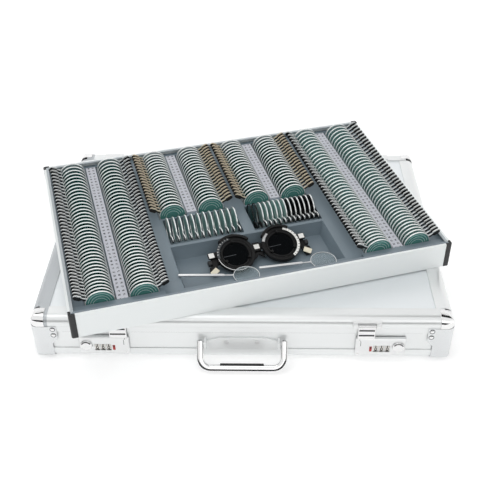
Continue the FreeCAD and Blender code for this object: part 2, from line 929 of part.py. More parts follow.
def recess():
    """Drafted pocket for the trial frame."""
    x0, x1 = recess_x
    y0, y1 = recess_y
    rise = (insert_top + 1 - recess_floor) / (insert_top - recess_floor)
    d = recess_draft
    e = d * (1 - rise)
    top = outline(V(x0 + e, y0 + e, insert_top + 1), V(x1 - e, y0 + e, insert_top + 1),
                  V(x1 - e, y1 - e, insert_top + 1), V(x0 + e, y1 - e, insert_top + 1))
    low = outline(V(x0 + d, y0 + d, recess_floor), V(x1 - d, y0 + d, recess_floor),
                  V(x1 - d, y1 - d, recess_floor), V(x0 + d, y1 - d, recess_floor))
    return Part.makeLoft([low, top], True, True)


def land_hollows():
    """Hollows moulded into the underside, between the columns."""
    roof = insert_top - insert_wall
    wide = trough_half + insert_wall
    back = column_back + column_ends
    long_front = column_front - column_ends
    centres = pair_centres()
    hollows = []
    for centre, front in zip(centres, (long_front, short_front, short_front, long_front)):
        hollows.append((centre - column_off + wide, centre + column_off - wide, front))
    inner = pair_pitch / 2 - column_off - wide
    for k, front in ((-1, long_front), (0, short_front), (1, long_front)):
        hollows.append((k * pair_pitch - inner, k * pair_pitch + inner, front))
    return [box(x0, x1, front, back, insert_slab - 1, roof) for x0, x1, front in hollows]


def insert():
    """Moulded insert: a slab on a skirt with troughs, row spaces, the recess and hollows."""
    half_w = tray_w / 2 - insert_inset
    half_d = tray_d / 2 - insert_inset
    block = box(-half_w, half_w, -half_d, half_d, board_top, insert_top)
    under = box(-half_w + insert_wall, half_w - insert_wall, -half_d + insert_wall,
                half_d - insert_wall, board_top - 1, insert_slab)
    block = block.cut(under)
    block = block.fuse([row_pod(prism_x), row_pod(accessory_x)]).removeSplitter()
    cuts = [trough(x, column_front if long_one else short_front) for x, side, long_one in columns()]
    cuts += [row_room(prism_x), row_room(accessory_x), recess()]
    return block.cut(cuts + land_hollows())


def label_strips():
    """Raised strips between the columns of each pair, and behind the two rows."""
    strips = []
    fronts = (column_front - 2, short_front - 1, short_front - 1, column_front - 2)
    for x, front in zip(pair_centres(), fronts):
        strips.append(box(x - strip_w / 2, x + strip_w / 2, front, strip_back,
                          insert_top, insert_top + strip_t))
    return strips


def column_places(front, count, spread):
    """Distances along Y of a column's lenses: even, or closer to each other at the front."""
    gaps = count - 1
    mean = (column_back - front) / gaps
    y = column_back
    places = [y]
    for k in range(gaps):
        y -= mean + spread * (1 - 2 * k / (gaps - 1))
        places.append(y)
    return places


def column_lens(x, side, y):
    """One lens of a column, standing across the tray with its tab up and outwards."""
    points = [V(x + side * p, y - lens_t / 2, lens_z + q) for p, q in lens_points(tab_lift)]
    return extrude(outline(*points), V(0, lens_t, 0))


def row_lens(x, thick):
    """One lens of a row, facing sideways with its tab towards the front."""
    points = [V(x - thick / 2, row_y - p, row_z + q) for p, q in lens_points(row_lift)]
    return extrude(outline(*points), V(thick, 0, 0))


def row(span, count, thick):
    """Row of lenses spread evenly over a span."""
    step = (span[1] - span[0]) / (count - 1)
    return [row_lens(span[0] + k * step, thick) for k in range(count)]


def loose_lens(x, side, y):
    """The front lens of the first column with its rim and its glass as separate solids."""
    sides = 2 * lens_sides
    z = lens_z + lens_r - seat_depth(tab_lift)
    wide = regular(V(x, y - lens_t / 2, z), lens_r, sides, "Y")
    rim = extrude(wide, V(0, lens_t, 0))
    points = []
    c = math.cos(math.radians(tab_lift))
    s = math.sin(math.radians(tab_lift))
    for d, h in ((lens_r - 1, -2), (tab_reach, -tab_half), (tab_reach, tab_half), (lens_r - 1, 2)):
        points.append(V(x + side * (d * c - h * s), y - 0.6, z + d * s + h * c))
    tab = extrude(outline(*points), V(0, 1.2, 0))
    hole_r = lens_r - 2.0
    hole = extrude(regular(V(x, y - lens_t, z), hole_r, sides, "Y"), V(0, 2 * lens_t, 0))
    glass = extrude(regular(V(x, y - 0.9, z), hole_r, sides, "Y"), V(0, 1.8, 0))
    return fuse(rim, tab).cut(hole), glass


def make_lenses():
    """All lens columns and rows; the first column gives its front lens up as a loose one."""
    sphere_nodes = []
    cylinder_nodes = [[], []]
    for x, side, long_one in columns():
        if long_one:
            places = column_places(column_front, long_count, long_spread)
            if not sphere_nodes:
                save_in_tray("loose_lens", *loose_lens(x, side, places.pop()))
            sphere_nodes.append([column_lens(x, side, y) for y in places])
        else:
            places = column_places(short_front, short_count, 0.0)
            cylinder_nodes[0 if x < 0 else 1] += [column_lens(x, side, y) for y in places]
    for k, lenses in enumerate(sphere_nodes):
        save_in_tray("sphere_lenses_%d" % (k + 1), *lenses)
    save_in_tray("cylinder_lenses_left", *cylinder_nodes[0])
    save_in_tray("cylinder_lenses_right", *cylinder_nodes[1])
    save_in_tray("prism_lenses", *row(prism_x, prism_count, prism_t))
    save_in_tray("accessory_lenses", *row(accessory_x, accessory_count, accessory_t))


def make_tray():
    """Rails, corner pieces, board, insert and label strips."""
    save_in_tray("tray_rails", *four_runs(rail_section, tray_w / 2, tray_d / 2, rail_foot, rail_foot))
    save_in_tray("tray_corners", *tray_corners())
    inset = insert_inset
    save_in_tray("tray_board", box(-tray_w / 2 + inset, tray_w / 2 - inset, -tray_d / 2 + inset,
                                   tray_d / 2 - inset, rail_foot_t, board_top))
    save_in_tray("tray_insert", insert())
    save_in_tray("label_strips", *label_strips())


# Trial frame, made flat in its own frame and then laid in the recess

def temple_layer(side):
    """Back edge and top face of a folded temple: the right one lies in front of the left one."""
    lane = 0 if side < 0 else temple_w + temple_drop + temple_gap
    return bar_y[1] - temple_in - lane, -bar_gap - bar_t - temple_gap


def frame_place():
    """Where the trial frame lies: tilted, with its sleeves' ends just over the recess floor."""
    tilt = math.radians(frame_tilt)
    drop = insert_top - recess_floor
    along = drop / math.sin(tilt) - eye_r
    y = recess_y[1] - along * math.cos(tilt) - frame_back * math.sin(tilt)
    slack = eye_half * math.sin(math.radians(frame_turn)) + frame_seat
    z = recess_floor + frame_seat - sleeve_low * math.sin(tilt) + (bar_gap + bar_t) * math.cos(tilt)
    turn = FreeCAD.Rotation(V(0, 0, 1), frame_turn)
    lean = FreeCAD.Rotation(V(1, 0, 0), frame_tilt)
    return FreeCAD.Placement(V(frame_x, y - slack, z), turn.multiply(lean))


def save_in_frame(name, *solids):
    """Write a node that was made in the trial frame's own frame."""
    placed = []
    for solid in solids:
        copy = solid.copy()
        copy.Placement = frame_place().multiply(copy.Placement)
        placed.append(copy)
    save_in_tray(name, *placed)


def flat_ring(centre, outer, hole, z0, z1):
    """Ring with flats on its rim, lying across Z."""
    disc = extrude(regular(V(centre, 0, z0), outer, eye_sides, "Z"), V(0, 0, z1 - z0))
    return disc.cut(extrude(regular(V(centre, 0, z0), hole, eye_sides, "Z"), V(0, 0, z1 - z0)))


def eye_frame(side):
    """Round eye frame with the crest over its top and the scale plate beside it."""
    x = side * eye_half
    ring = flat_ring(x, eye_r, eye_hole_r, 0, eye_t)
    rim_in = (eye_r + eye_hole_r) / 2
    corners = []
    for r, way in ((eye_r + crest_out, 1), (rim_in, -1)):
        for k in range(crest_steps + 1)[::way]:
            a = math.radians(crest_from + (crest_to - crest_from) * k / crest_steps)
            corners.append(V(x + side * r * math.cos(a), r * math.sin(a), 0))
    lug = extrude(outline(*corners), V(0, 0, crest_t))
    edge = eye_half + eye_r
    plate = box(side * (edge - 2), side * (edge + side_plate_w), side_plate_y,
                side_plate_y + side_plate_h, 0, side_plate_t)
    return fuse(ring, lug, plate)


def axis_cell(side):
    """Turning cell with a dark lens fitted and three clips on its rim."""
    x = side * eye_half
    disc = extrude(regular(V(x, 0, 0.3), cell_r, eye_sides, "Z"), V(0, 0, cell_t))
    hollow = regular(V(x, 0, 0.3 + cell_lens_t), cell_hole_r, eye_sides, "Z")
    cell = disc.cut(extrude(hollow, V(0, 0, cell_t)))
    clips = []
    for k in range(3):
        clip = box(x + cell_hole_r, x + cell_r, -cell_clip / 2, cell_clip / 2, cell_t, cell_t + 3)
        clip.rotate(V(x, 0, 0), V(0, 0, 1), 90 + 120 * k)
        clips.append(clip)
    return fuse(cell, *clips)


def frame_bar():
    """Bar that carries the eye frames, with its bridge, end blocks, temple sleeves and tilt knobs."""
    low = -bar_gap - bar_t
    bar = box(-bar_half, bar_half, bar_y[0], bar_y[1], low, -bar_gap)
    bridge = box(-bridge_w / 2, bridge_w / 2, bar_y[0] - bridge_drop, bar_y[1] + 2, low, -bar_gap)
    ends = []
    for side in (-1, 1):
        ends.append(box(side * (bar_half - hinge_block), side * (bar_half + hinge_block),
                        knob_y - knob_r, bar_y[1] + 1, low, -bar_gap))
        inner = side * (bar_half - sleeve_into)
        top = knob_y - knob_r + sleeve_into
        lean = side * sleeve_out
        across = side * sleeve_w
        ends.append(extrude(outline(V(inner, top, low), V(inner + across, top, low),
                                    V(inner + across + lean, sleeve_low, low),
                                    V(inner + lean, sleeve_low, low)), V(0, 0, bar_t)))
        knob = regular(V(side * (bar_half + tilt_knob_out), tilt_knob_y, low), tilt_knob_r,
                       knob_sides, "Z")
        ends.append(extrude(knob, V(0, 0, bar_t)))
    return fuse(bar, bridge, *ends)


def nose_rest():
    """Nose rest: a stem down from the bridge and two pads."""
    y1 = bar_y[0] - bridge_drop
    low = -bar_gap - bar_t
    stem = box(-1.5, 1.5, y1 - nose_drop, y1, low, low + 2)
    pads = []
    for side in (-1, 1):
        edge = side * nose_half
        y0 = y1 - nose_drop
        pad = extrude(outline(V(0, y0, low), V(edge, y0 - nose_slant, low),
                              V(edge, y0 - nose_slant + nose_pad_h, low), V(0, y1 - 1, low)),
                      V(0, 0, nose_pad_t))
        pads.append(pad)
    return fuse(stem, *pads)


def temple(side):
    """Folded temple: a plate at its root, an arm across the back and an ear hook."""
    y1, z1 = temple_layer(side)
    z0 = z1 - temple_t
    y0 = y1 - temple_w
    root = side * bar_half
    tip = root - side * temple_len
    arm = box(root, tip, y0, y1, z0, z1)
    end = tip - side * temple_hook
    hook = extrude(outline(V(tip, y1, z0), V(end, y1 - temple_drop, z0), V(end, y0 - temple_drop, z0),
                           V(tip, y0, z0)), V(0, 0, temple_t))
    return fuse(arm, hook)


def pd_knob(side):
    """Knob on the end of the bar that moves one eye frame."""
    start = V(side * (bar_half + hinge_block), knob_y, -bar_gap - bar_t / 2)
    return extrude(regular(start, knob_r, knob_sides, "X"), V(side * knob_t, 0, 0))


def make_trial_frame():
    """The trial frame, in its separate pieces."""
    save_in_frame("frame_bar", frame_bar())
    save_in_frame("frame_nose_rest", nose_rest())
    for name, side in (("left", -1), ("right", 1)):
        save_in_frame("eye_frame_" + name, eye_frame(side))
        save_in_frame("axis_cell_" + name, axis_cell(side))
        save_in_frame("temple_" + name, temple(side))
        save_in_frame("pd_knob_" + name, pd_knob(side))


# Cross cylinders

def cross_cylinder(centre, end):
    """Round lens on a handle, lying level: rim with its handle, and glass."""
    across = V(end[0] - centre[0], end[1] - centre[1], 0)
    length = across.Length
    z = insert_top + seat_gap + cross_t / 2
    rim = extrude(regular(V(0, 0, z - cross_t / 2), cross_r, cross_sides, "Z"), V(0, 0, cross_t))
    hole_r = cross_r - cross_rim
    hole = extrude(regular(V(0, 0, z - cross_t), hole_r, cross_sides, "Z"), V(0, 0, 2 * cross_t))
    start = cross_r - cross_rim / 2
    neck = extrude(regular(V(start, 0, z), cross_neck_r, rod_sides, "X"), V(cross_neck, 0, 0))
    rod = extrude(regular(V(start + cross_neck, 0, z), cross_rod_r, rod_sides, "X"),
                  V(length - start - cross_neck, 0, 0))
    body = fuse(rim.cut(hole), neck, rod)
    glass = extrude(regular(V(0, 0, z - cross_glass_t / 2), hole_r, cross_sides, "Z"),
                    V(0, 0, cross_glass_t))
    placed = []
    for solid in (body, glass):
        solid.rotate(V(0, 0, 0), V(0, 0, 1), math.degrees(math.atan2(across.y, across.x)))
        placed.append(moved(solid, centre[0], front_y + centre[1], 0))
    return placed


def make_cross_cylinders():
    """Both cross cylinders at the front of the recess."""
    save_in_tray("cross_cylinder_left", *cross_cylinder(left_cross, left_cross_end))
    save_in_tray("cross_cylinder_right", *cross_cylinder(right_cross, right_cross_end))


make_base()
make_lid()
make_hinges()
make_locks()
make_hasps()
make_handle()
make_tray()
make_lenses()
make_trial_frame()
make_cross_cylinders()
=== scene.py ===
# %% [markdown]
# # A trial lens case, dressed for the studio
#
# A trial lens case is what an optician tests eyes with. The case is closed here, and its tray of
# lenses lies turned on the lid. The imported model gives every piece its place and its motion. This
# script gives the pieces their finishes, and makes the ones again whose roundness, print or glass
# a plain solid can't show: the lenses, their strips, the trial frame, the cross cylinders, the
# rivets and the bail.

import json
import math

import bmesh
import bpy
import numpy as np
from mathutils import Matrix, Vector

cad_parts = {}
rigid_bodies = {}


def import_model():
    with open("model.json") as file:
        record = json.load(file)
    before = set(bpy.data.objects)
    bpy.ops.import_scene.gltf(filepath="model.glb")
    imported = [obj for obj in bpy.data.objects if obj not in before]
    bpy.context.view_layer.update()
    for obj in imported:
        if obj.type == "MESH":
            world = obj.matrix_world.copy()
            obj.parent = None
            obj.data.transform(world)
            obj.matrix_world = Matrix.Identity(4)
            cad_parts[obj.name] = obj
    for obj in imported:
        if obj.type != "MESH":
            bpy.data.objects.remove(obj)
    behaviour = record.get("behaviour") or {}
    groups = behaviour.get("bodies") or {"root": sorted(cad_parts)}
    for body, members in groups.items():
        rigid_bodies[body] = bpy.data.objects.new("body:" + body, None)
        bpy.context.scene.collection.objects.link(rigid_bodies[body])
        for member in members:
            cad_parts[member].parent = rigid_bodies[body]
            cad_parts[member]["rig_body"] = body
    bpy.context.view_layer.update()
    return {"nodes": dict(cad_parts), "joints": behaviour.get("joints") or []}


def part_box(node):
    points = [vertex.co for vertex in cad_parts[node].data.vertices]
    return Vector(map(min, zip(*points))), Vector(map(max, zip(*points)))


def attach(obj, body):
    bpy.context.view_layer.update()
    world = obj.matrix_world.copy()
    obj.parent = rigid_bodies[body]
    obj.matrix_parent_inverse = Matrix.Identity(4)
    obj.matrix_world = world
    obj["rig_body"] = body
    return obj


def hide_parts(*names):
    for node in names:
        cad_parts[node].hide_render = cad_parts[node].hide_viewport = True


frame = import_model()

# %% [markdown]
# The numbers below are millimetres, because that is how such a case is drawn. Blender works in
# metres, so one factor turns them when a mesh is made. The tray lies turned on the lid, so what is
# in it is worked out square to the tray and then set in place by one matrix. The trial frame leans
# in the tray's recess. Its place is read from its own joints: the eyes slide along its X, and the
# lens cells turn about its Z.

# %% Units and places
MM = 0.001
TRAY_TURN = 16.7
TRAY_AT = (-13.7, 2.2, 70.0)


def joint(name):
    """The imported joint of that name."""
    return next(j for j in frame["joints"] if j["name"] == name)


def placement(x_way, z_way, origin):
    """Matrix whose columns are X, Z cross X, Z and the origin."""
    x = np.array(x_way, float)
    z = np.array(z_way, float)
    place = np.eye(4)
    place[:3, 0] = x
    place[:3, 1] = np.cross(z, x)
    place[:3, 2] = z
    place[:3, 3] = origin
    return place


turn = math.radians(TRAY_TURN)
IN_TRAY = placement((math.cos(turn), math.sin(turn), 0), (0, 0, 1), TRAY_AT)
EYE_HALF = 32.0
EYE_TOP = 6.0
eye_x = np.array(joint("eye_right_slide")["axis"])
eye_z = np.array(joint("cell_right_turn")["axis"])
eye_at = np.array(joint("cell_right_turn")["pos_m"]) / MM - EYE_HALF * eye_x - EYE_TOP * eye_z
IN_FRAME = placement(eye_x, eye_z, eye_at)
IN_CASE = np.eye(4)
print("trial frame stands at", np.round(eye_at, 1))

# %% [markdown]
# Every new piece is made of a few kinds of surface, each worked out for all its points at once. A
# ring carries a section round an axis. A prism carries a flat outline straight up. A ladder fills
# a disc with four-sided faces, so that no corner gathers all the edges. Pieces that repeat are
# copied by adding every place to every point.

# %% Surfaces
def grid_faces(rows, cols, round_rows=False, round_cols=False):
    """Quads between neighbours of a grid of points, joined end to start where it is round."""
    r, c = np.meshgrid(np.arange(rows if round_rows else rows - 1),
                       np.arange(cols if round_cols else cols - 1), indexing="ij")
    r, c = r.ravel(), c.ravel()
    r2, c2 = (r + 1) % rows, (c + 1) % cols
    return np.stack([r * cols + c, r * cols + c2, r2 * cols + c2, r2 * cols + c], axis=1).tolist()


def ring(section, turns, closed=True, start=0.0, end=360.0):
    """Section of (radius, height) points carried round Z: x = r cos a, y = r sin a, z = h."""
    whole = end - start >= 360.0
    a = np.radians(np.linspace(start, end, turns, endpoint=not whole))
    r, h = np.array(section, float).T
    points = np.stack([np.outer(np.cos(a), r), np.outer(np.sin(a), r), np.tile(h, (turns, 1))], -1)
    faces = grid_faces(turns, len(r), whole, closed)
    if not whole:
        last = (turns - 1) * len(r)
        faces += [list(range(len(r))), list(range(last, last + len(r)))]
    return points.reshape(-1, 3), faces


def ladder(radius, height, turns):
    """Disc with an even number of corners at z = height, filled with quads from side to side."""
    a = 2 * np.pi * np.arange(turns) / turns
    points = np.c_[radius * np.cos(a), radius * np.sin(a), np.full(turns, height)]
    k = np.arange(turns // 2 - 1)
    return points, np.stack([k, k + 1, turns - 2 - k, turns - 1 - k], axis=1).tolist()


def prism(outline, low, high):
    """Flat outline of (x, y) points carried from z = low to z = high."""
    flat = np.array(outline, float)
    n = len(flat)
    points = np.concatenate([np.c_[flat, np.full(n, low)], np.c_[flat, np.full(n, high)]])
    k = np.arange(n)
    after = (k + 1) % n
    sides = np.stack([k, after, after + n, k + n], axis=1).tolist()
    return points, sides + [list(range(n - 1, -1, -1)), list(range(n, 2 * n))]


def rounded(width, height, r, steps=5):
    """Rectangle about the middle with round corners: each corner is a quarter turn of radius r."""
    a = np.radians(np.linspace(0, 90, steps))
    quarters = []
    for k, (sx, sy) in enumerate(((1, 1), (-1, 1), (-1, -1), (1, -1))):
        turned = a + k * np.pi / 2
        quarters.append(np.c_[sx * (width / 2 - r) + r * np.cos(turned),
                              sy * (height / 2 - r) + r * np.sin(turned)])
    return np.concatenate(quarters)


def joined(*parts):
    """Several surfaces as one, without merging their points."""
    points, faces, first = [], [], 0
    for part_points, part_faces in parts:
        points.append(part_points)
        faces += [[i + first for i in face] for face in part_faces]
        first += len(part_points)
    return np.concatenate(points), faces


def repeated(part, places):
    """A copy of the part at every place: point plus place, for all of both."""
    points, faces = part
    spread = (np.asarray(places, float)[:, None, :] + points[None]).reshape(-1, 3)
    n = len(points)
    return spread, [[i + k * n for i in face] for k in range(len(places)) for face in faces]


def moved(part, place):
    """The part set in place by a 4 x 4 matrix."""
    points, faces = part
    return points @ place[:3, :3].T + place[:3, 3], faces


def at(x, y, z, degrees=0.0):
    """Matrix that turns about Z and then moves."""
    place = np.array(Matrix.Rotation(math.radians(degrees), 4, "Z"))
    place[:3, 3] = (x, y, z)
    return place


def axes(first, second, third, x=0.0, y=0.0, z=0.0):
    """Matrix that lays a part's own X, Y and Z along three given ways."""
    place = np.eye(4)
    place[:3, 0], place[:3, 1], place[:3, 2], place[:3, 3] = first, second, third, (x, y, z)
    return place


# %% [markdown]
# A finished piece is a mesh whose points are already in the model's frame, because the export puts
# every object at the origin. Its faces are turned outwards once, its shading is smooth, and edges
# sharper than a crease stay sharp. Then it rides on the body that carries the real piece.

# %% Pieces
CREASE = 35.0


def settle(obj, body, material):
    """Smooth shading with creases, a material, and the body that the piece rides on."""
    mesh = obj.data
    mesh.polygons.foreach_set("use_smooth", np.ones(len(mesh.polygons), bool))
    mesh.set_sharp_from_angle(angle=math.radians(CREASE))
    mesh.materials.clear()
    mesh.materials.append(material)
    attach(obj, body)
    return obj


def piece(name, part, place, body, material, replaces=()):
    """New object from a surface, set in place, with its doubles merged and its faces outwards."""
    points, faces = moved(part, place)
    mesh = bpy.data.meshes.new(name)
    mesh.from_pydata((points * MM).tolist(), [], faces)
    work = bmesh.new()
    work.from_mesh(mesh)
    bmesh.ops.remove_doubles(work, verts=work.verts, dist=1e-7)
    bmesh.ops.recalc_face_normals(work, faces=work.faces)
    work.to_mesh(mesh)
    work.free()
    obj = bpy.data.objects.new(name, mesh)
    bpy.context.scene.collection.objects.link(obj)
    settle(obj, body, material)
    if replaces:
        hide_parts(*replaces)
    return obj


def eased(node, material, width, shape=None):
    """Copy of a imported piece, reshaped if asked, merged into whole faces, its edges bevelled."""
    name = node + "_eased"
    mesh = frame["nodes"][node].data.copy()
    if shape:
        co = np.zeros(len(mesh.vertices) * 3)
        mesh.vertices.foreach_get("co", co)
        mesh.vertices.foreach_set("co", shape(co.reshape(-1, 3) / MM).ravel() * MM)
    work = bmesh.new()
    work.from_mesh(mesh)
    bmesh.ops.remove_doubles(work, verts=work.verts, dist=1e-6)
    bmesh.ops.dissolve_limit(work, angle_limit=math.radians(1), verts=work.verts, edges=work.edges)
    work.to_mesh(mesh)
    work.free()
    obj = bpy.data.objects.new(name, mesh)
    bpy.context.scene.collection.objects.link(obj)
    settle(obj, frame["nodes"][node]["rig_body"], material)
    bevel = obj.modifiers.new("Eased edges", "BEVEL")
    bevel.width = width * MM
    bevel.segments = 2
    bevel.limit_method = "ANGLE"
    bevel.angle_limit = math.radians(40)
    bevel.harden_normals = True
    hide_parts(node)
    return obj


# %% [markdown]
# A finish starts from what the real one is. Colours are written as on a colour card and turned
# into the linear values that light works with. One small function adds a node, sets it and links
# it. Patterns read object coordinates, which are metres here, so they are divided by a real size
# first: a pattern of size s then has features about s millimetres across.

# %% Colours and nodes
def card(code):
    """Linear red, green, blue and alpha from a colour card's hex code."""
    srgb = [int(code[i:i + 2], 16) / 255 for i in (1, 3, 5)]
    return [c / 12.92 if c <= 0.04045 else ((c + 0.055) / 1.055) ** 2.4 for c in srgb] + [1.0]


def add(tree, kind, links=None, **settings):
    """New node: settings are its properties, links its sockets' values or other sockets."""
    node = tree.nodes.new(kind)
    for key, value in settings.items():
        setattr(node, key, value)
    for key, value in (links or {}).items():
        if isinstance(value, bpy.types.NodeSocket):
            tree.links.new(value, node.inputs[key])
        else:
            node.inputs[key].default_value = value
    return node


def finish(name, colour, rough, metal=0.0, **more):
    """Plain finish: one shader with its colour, roughness, metal and any other socket."""
    material = bpy.data.materials.new(name)
    material.use_nodes = True
    shader = material.node_tree.nodes["Principled BSDF"]
    shader.inputs["Base Color"].default_value = card(colour)
    shader.inputs["Roughness"].default_value = rough
    shader.inputs["Metallic"].default_value = metal
    for key, value in more.items():
        shader.inputs[key.replace("_", " ")].default_value = value
    return material


def shader_of(material):
    """The material's node tree and its shader."""
    return material.node_tree, material.node_tree.nodes["Principled BSDF"]


def scaled(tree, size_mm, turn_deg=0.0):
    """Object coordinates after a turn about Z, in units of size_mm along each axis."""
    place = add(tree, "ShaderNodeTexCoord").outputs["Object"]
    turned = add(tree, "ShaderNodeMapping", {"Vector": place,
                                             "Rotation": (0, 0, math.radians(turn_deg))})
    return add(tree, "ShaderNodeMapping", {"Vector": turned.outputs[0],
                                           "Scale": [1 / (s * MM) for s in size_mm]}).outputs[0]


BRUSH_ROUGH = (0.25, 0.42)
BRUSH_DENT = 0.1


def brushed(material, grain, turn_deg=0.0):
    """Brush marks: stretched noise moves the roughness within its limits and dents a little."""
    tree, shader = shader_of(material)
    noise = add(tree, "ShaderNodeTexNoise", {"Vector": scaled(tree, grain, turn_deg),
                                             "Scale": 1.0, "Detail": 3.0})
    rough = add(tree, "ShaderNodeMapRange", {"Value": noise.outputs[0], "To Min": BRUSH_ROUGH[0],
                                            "To Max": BRUSH_ROUGH[1]})
    tree.links.new(rough.outputs[0], shader.inputs["Roughness"])
    bump = add(tree, "ShaderNodeBump", {"Height": noise.outputs[0], "Strength": BRUSH_DENT,
                                        "Distance": 0.05 * MM})
    tree.links.new(bump.outputs[0], shader.inputs["Normal"])
    return material


# %% [markdown]
# The case is aluminium sheet on aluminium profiles. The sheet is brushed along its length, which
# smears a highlight across the brush marks. Real marks are a tenth of a millimetre apart and too
# fine to show, so they are drawn about one millimetre apart. Anodising dulls the metal, so only a
# part of it mirrors and the rest is a pale coat.

# %% Aluminium
sheet_aluminium = brushed(finish("Brushed aluminium sheet", "#EEF0F0", 0.34, 0.6), (60, 60, 0.8))
lid_aluminium = brushed(finish("Lid aluminium sheet", "#EEF2F4", 0.42, 0.5), (70, 1.0, 1.0))
profile_aluminium = brushed(finish("Anodised profile", "#ECEEEE", 0.33, 0.7), (80, 80, 1.2))
shaded_lid_profile = brushed(finish("Lid profile with painted shade", "#ECEEEE", 0.33, 0.7), (80, 80, 1.2))
tray_aluminium = brushed(finish("Tray rail aluminium", "#F0F4F4", 0.4, 0.08), (80, 2.0, 1.5),
                         TRAY_TURN)
lip_aluminium = finish("Tray lip aluminium", "#B2B9BD", 0.42, 0.2)
# The front side of the lip is painted shade.
shaded_lip = finish("Front lip aluminium in painted shade", "#7F8A92", 0.42, 0.2)

# The lid's left side lies in shade, so painted shade darkens its colour between these two places.
LID_SHADE_SIDE = (-246.0, -246.6)
tree, shader = shader_of(shaded_lid_profile)
place = add(tree, "ShaderNodeSeparateXYZ", {0: add(tree, "ShaderNodeTexCoord").outputs["Object"]})
aside = add(tree, "ShaderNodeMapRange", {"Value": place.outputs[0], "From Min": LID_SHADE_SIDE[0] * MM,
                                         "From Max": LID_SHADE_SIDE[1] * MM})
shade = add(tree, "ShaderNodeMix", {"Factor": aside.outputs[0]}, data_type="RGBA")
shade.inputs[6].default_value = card("#ECEEEE")
shade.inputs[7].default_value = card("#BDC1C4")
tree.links.new(shade.outputs[2], shader.inputs["Base Color"])

# %% [markdown]
# The caps, hasps, buttons and bail are plated steel, polished almost to a mirror. What they show
# is the studio, so their colour is nearly white and their roughness is low. Locks, brackets and
# hinges have a satin finish, and the handle's plate is the dullest.

# %% Plated steel
polished_steel = finish("Polished plated steel", "#EDEDED", 0.1, 1.0)
satin_steel = finish("Satin plated steel", "#E9EAEA", 0.3, 0.9)
cap_steel = finish("Cap steel", "#DDDFE0", 0.2, 0.95)
plate_steel = finish("Handle plate steel", "#EEF0F0", 0.38, 0.4)
# Dark steel also serves as painted shade on the locks and round the rivets.
dark_steel_and_painted_shade = finish("Dark steel and painted shade", "#54575A", 0.35, 0.9)

# %% [markdown]
# The insert is a sheet of grey-blue plastic drawn into a mould, and so is a little uneven. The
# corner pieces, dials and grip are black plastic or rubber with a soft sheen. The linings are
# dark cloth on foam and stay closed inside the case.

# %% Plastics, rubber and cloth
insert_plastic = finish("Drawn grey-blue plastic", "#73818A", 0.42)
tree, shader = shader_of(insert_plastic)
ripple = add(tree, "ShaderNodeTexNoise", {"Vector": scaled(tree, (14, 14, 14)), "Scale": 1.0})
bump = add(tree, "ShaderNodeBump", {"Height": ripple.outputs[0], "Strength": 0.25,
                                    "Distance": 0.6 * MM})
tree.links.new(bump.outputs[0], shader.inputs["Normal"])
# The black plastic also serves as painted shade in the slots of the hasps.
black_plastic_and_painted_shade = finish("Black moulded plastic and painted shade", "#1C1D1F", 0.4)
black_paint = finish("Black satin paint", "#060607", 0.42, Specular_IOR_Level=0.3)
dial_plastic = finish("Cream dial plastic", "#EFECE6", 0.45)
grip_rubber = finish("Black rubber", "#161616", 0.6)
lining_cloth = finish("Dark lining cloth", "#2A2B2E", 0.9)
white_card = finish("White number plate", "#F2F2EE", 0.5)
cream_card = finish("Cream scale plate", "#EFE8D2", 0.5)
# The black ink also serves as a painted reflection on the buttons.
black_ink_and_painted_reflection = finish("Black ink and painted reflection", "#1A1A1A", 0.6)
red_paint = finish("Red paint", "#B3261E", 0.4)

# %% [markdown]
# The label strips between the columns are pale plastic printed with each lens's power. At the size
# of the picture the print is only two files of small dark dashes, so the material draws those. It
# folds the tray's X at the pitch of the columns and its Y at the pitch of the print, and inks the
# places where both lie inside a dash. Many whole pitches are added first, so that it folds
# numbers above zero. A little noise breaks the dashes up, as digits would.

# %% Printed label strips
PAIR_PITCH = 122.8
PRINT_PITCH = 7.7
FILE_OUT = 3.0
DASH_HALF = (1.5, 1.7)
SPECK = 1.1
BREAK_OVER = 0.47
WHOLE = (200, 1000)


def folded(tree, value, period, shift):
    """Distance from the nearest of many evenly spaced middles."""
    added = add(tree, "ShaderNodeMath", {0: value, 1: shift}, operation="ADD")
    return add(tree, "ShaderNodeMath", {0: added.outputs[0], 1: period},
               operation="PINGPONG").outputs[0]


label_plastic = finish("Printed pale plastic", "#C4C6CE", 0.5)
tree, shader = shader_of(label_plastic)
place = add(tree, "ShaderNodeSeparateXYZ", {0: scaled(tree, (1, 1, 1), -TRAY_TURN)})
across = folded(tree, place.outputs[0], PAIR_PITCH / 2, WHOLE[0] * PAIR_PITCH + PAIR_PITCH / 2
                - (TRAY_AT[0] * math.cos(turn) + TRAY_AT[1] * math.sin(turn)))
along = folded(tree, place.outputs[1], PRINT_PITCH / 2, WHOLE[1] * PRINT_PITCH)
file_out = add(tree, "ShaderNodeMath", {0: across, 1: FILE_OUT}, operation="SUBTRACT")
file_off = add(tree, "ShaderNodeMath", {0: file_out.outputs[0]}, operation="ABSOLUTE")
in_file = add(tree, "ShaderNodeMath", {0: file_off.outputs[0], 1: DASH_HALF[0]},
              operation="LESS_THAN")
in_row = add(tree, "ShaderNodeMath", {0: along, 1: DASH_HALF[1]}, operation="LESS_THAN")
speck = add(tree, "ShaderNodeTexNoise", {"Vector": scaled(tree, (SPECK, SPECK, SPECK)),
                                         "Scale": 1.0})
broken = add(tree, "ShaderNodeMath", {0: speck.outputs[0], 1: BREAK_OVER}, operation="GREATER_THAN")
dash = add(tree, "ShaderNodeMath", {0: in_file.outputs[0], 1: in_row.outputs[0]},
           operation="MULTIPLY")
inked = add(tree, "ShaderNodeMath", {0: dash.outputs[0], 1: broken.outputs[0]},
            operation="MULTIPLY")
mixed = add(tree, "ShaderNodeMix", {"Factor": inked.outputs[0]}, data_type="RGBA")
mixed.inputs[6].default_value = card("#C4C6CE")
mixed.inputs[7].default_value = card("#34353C")
tree.links.new(mixed.outputs[2], shader.inputs["Base Color"])
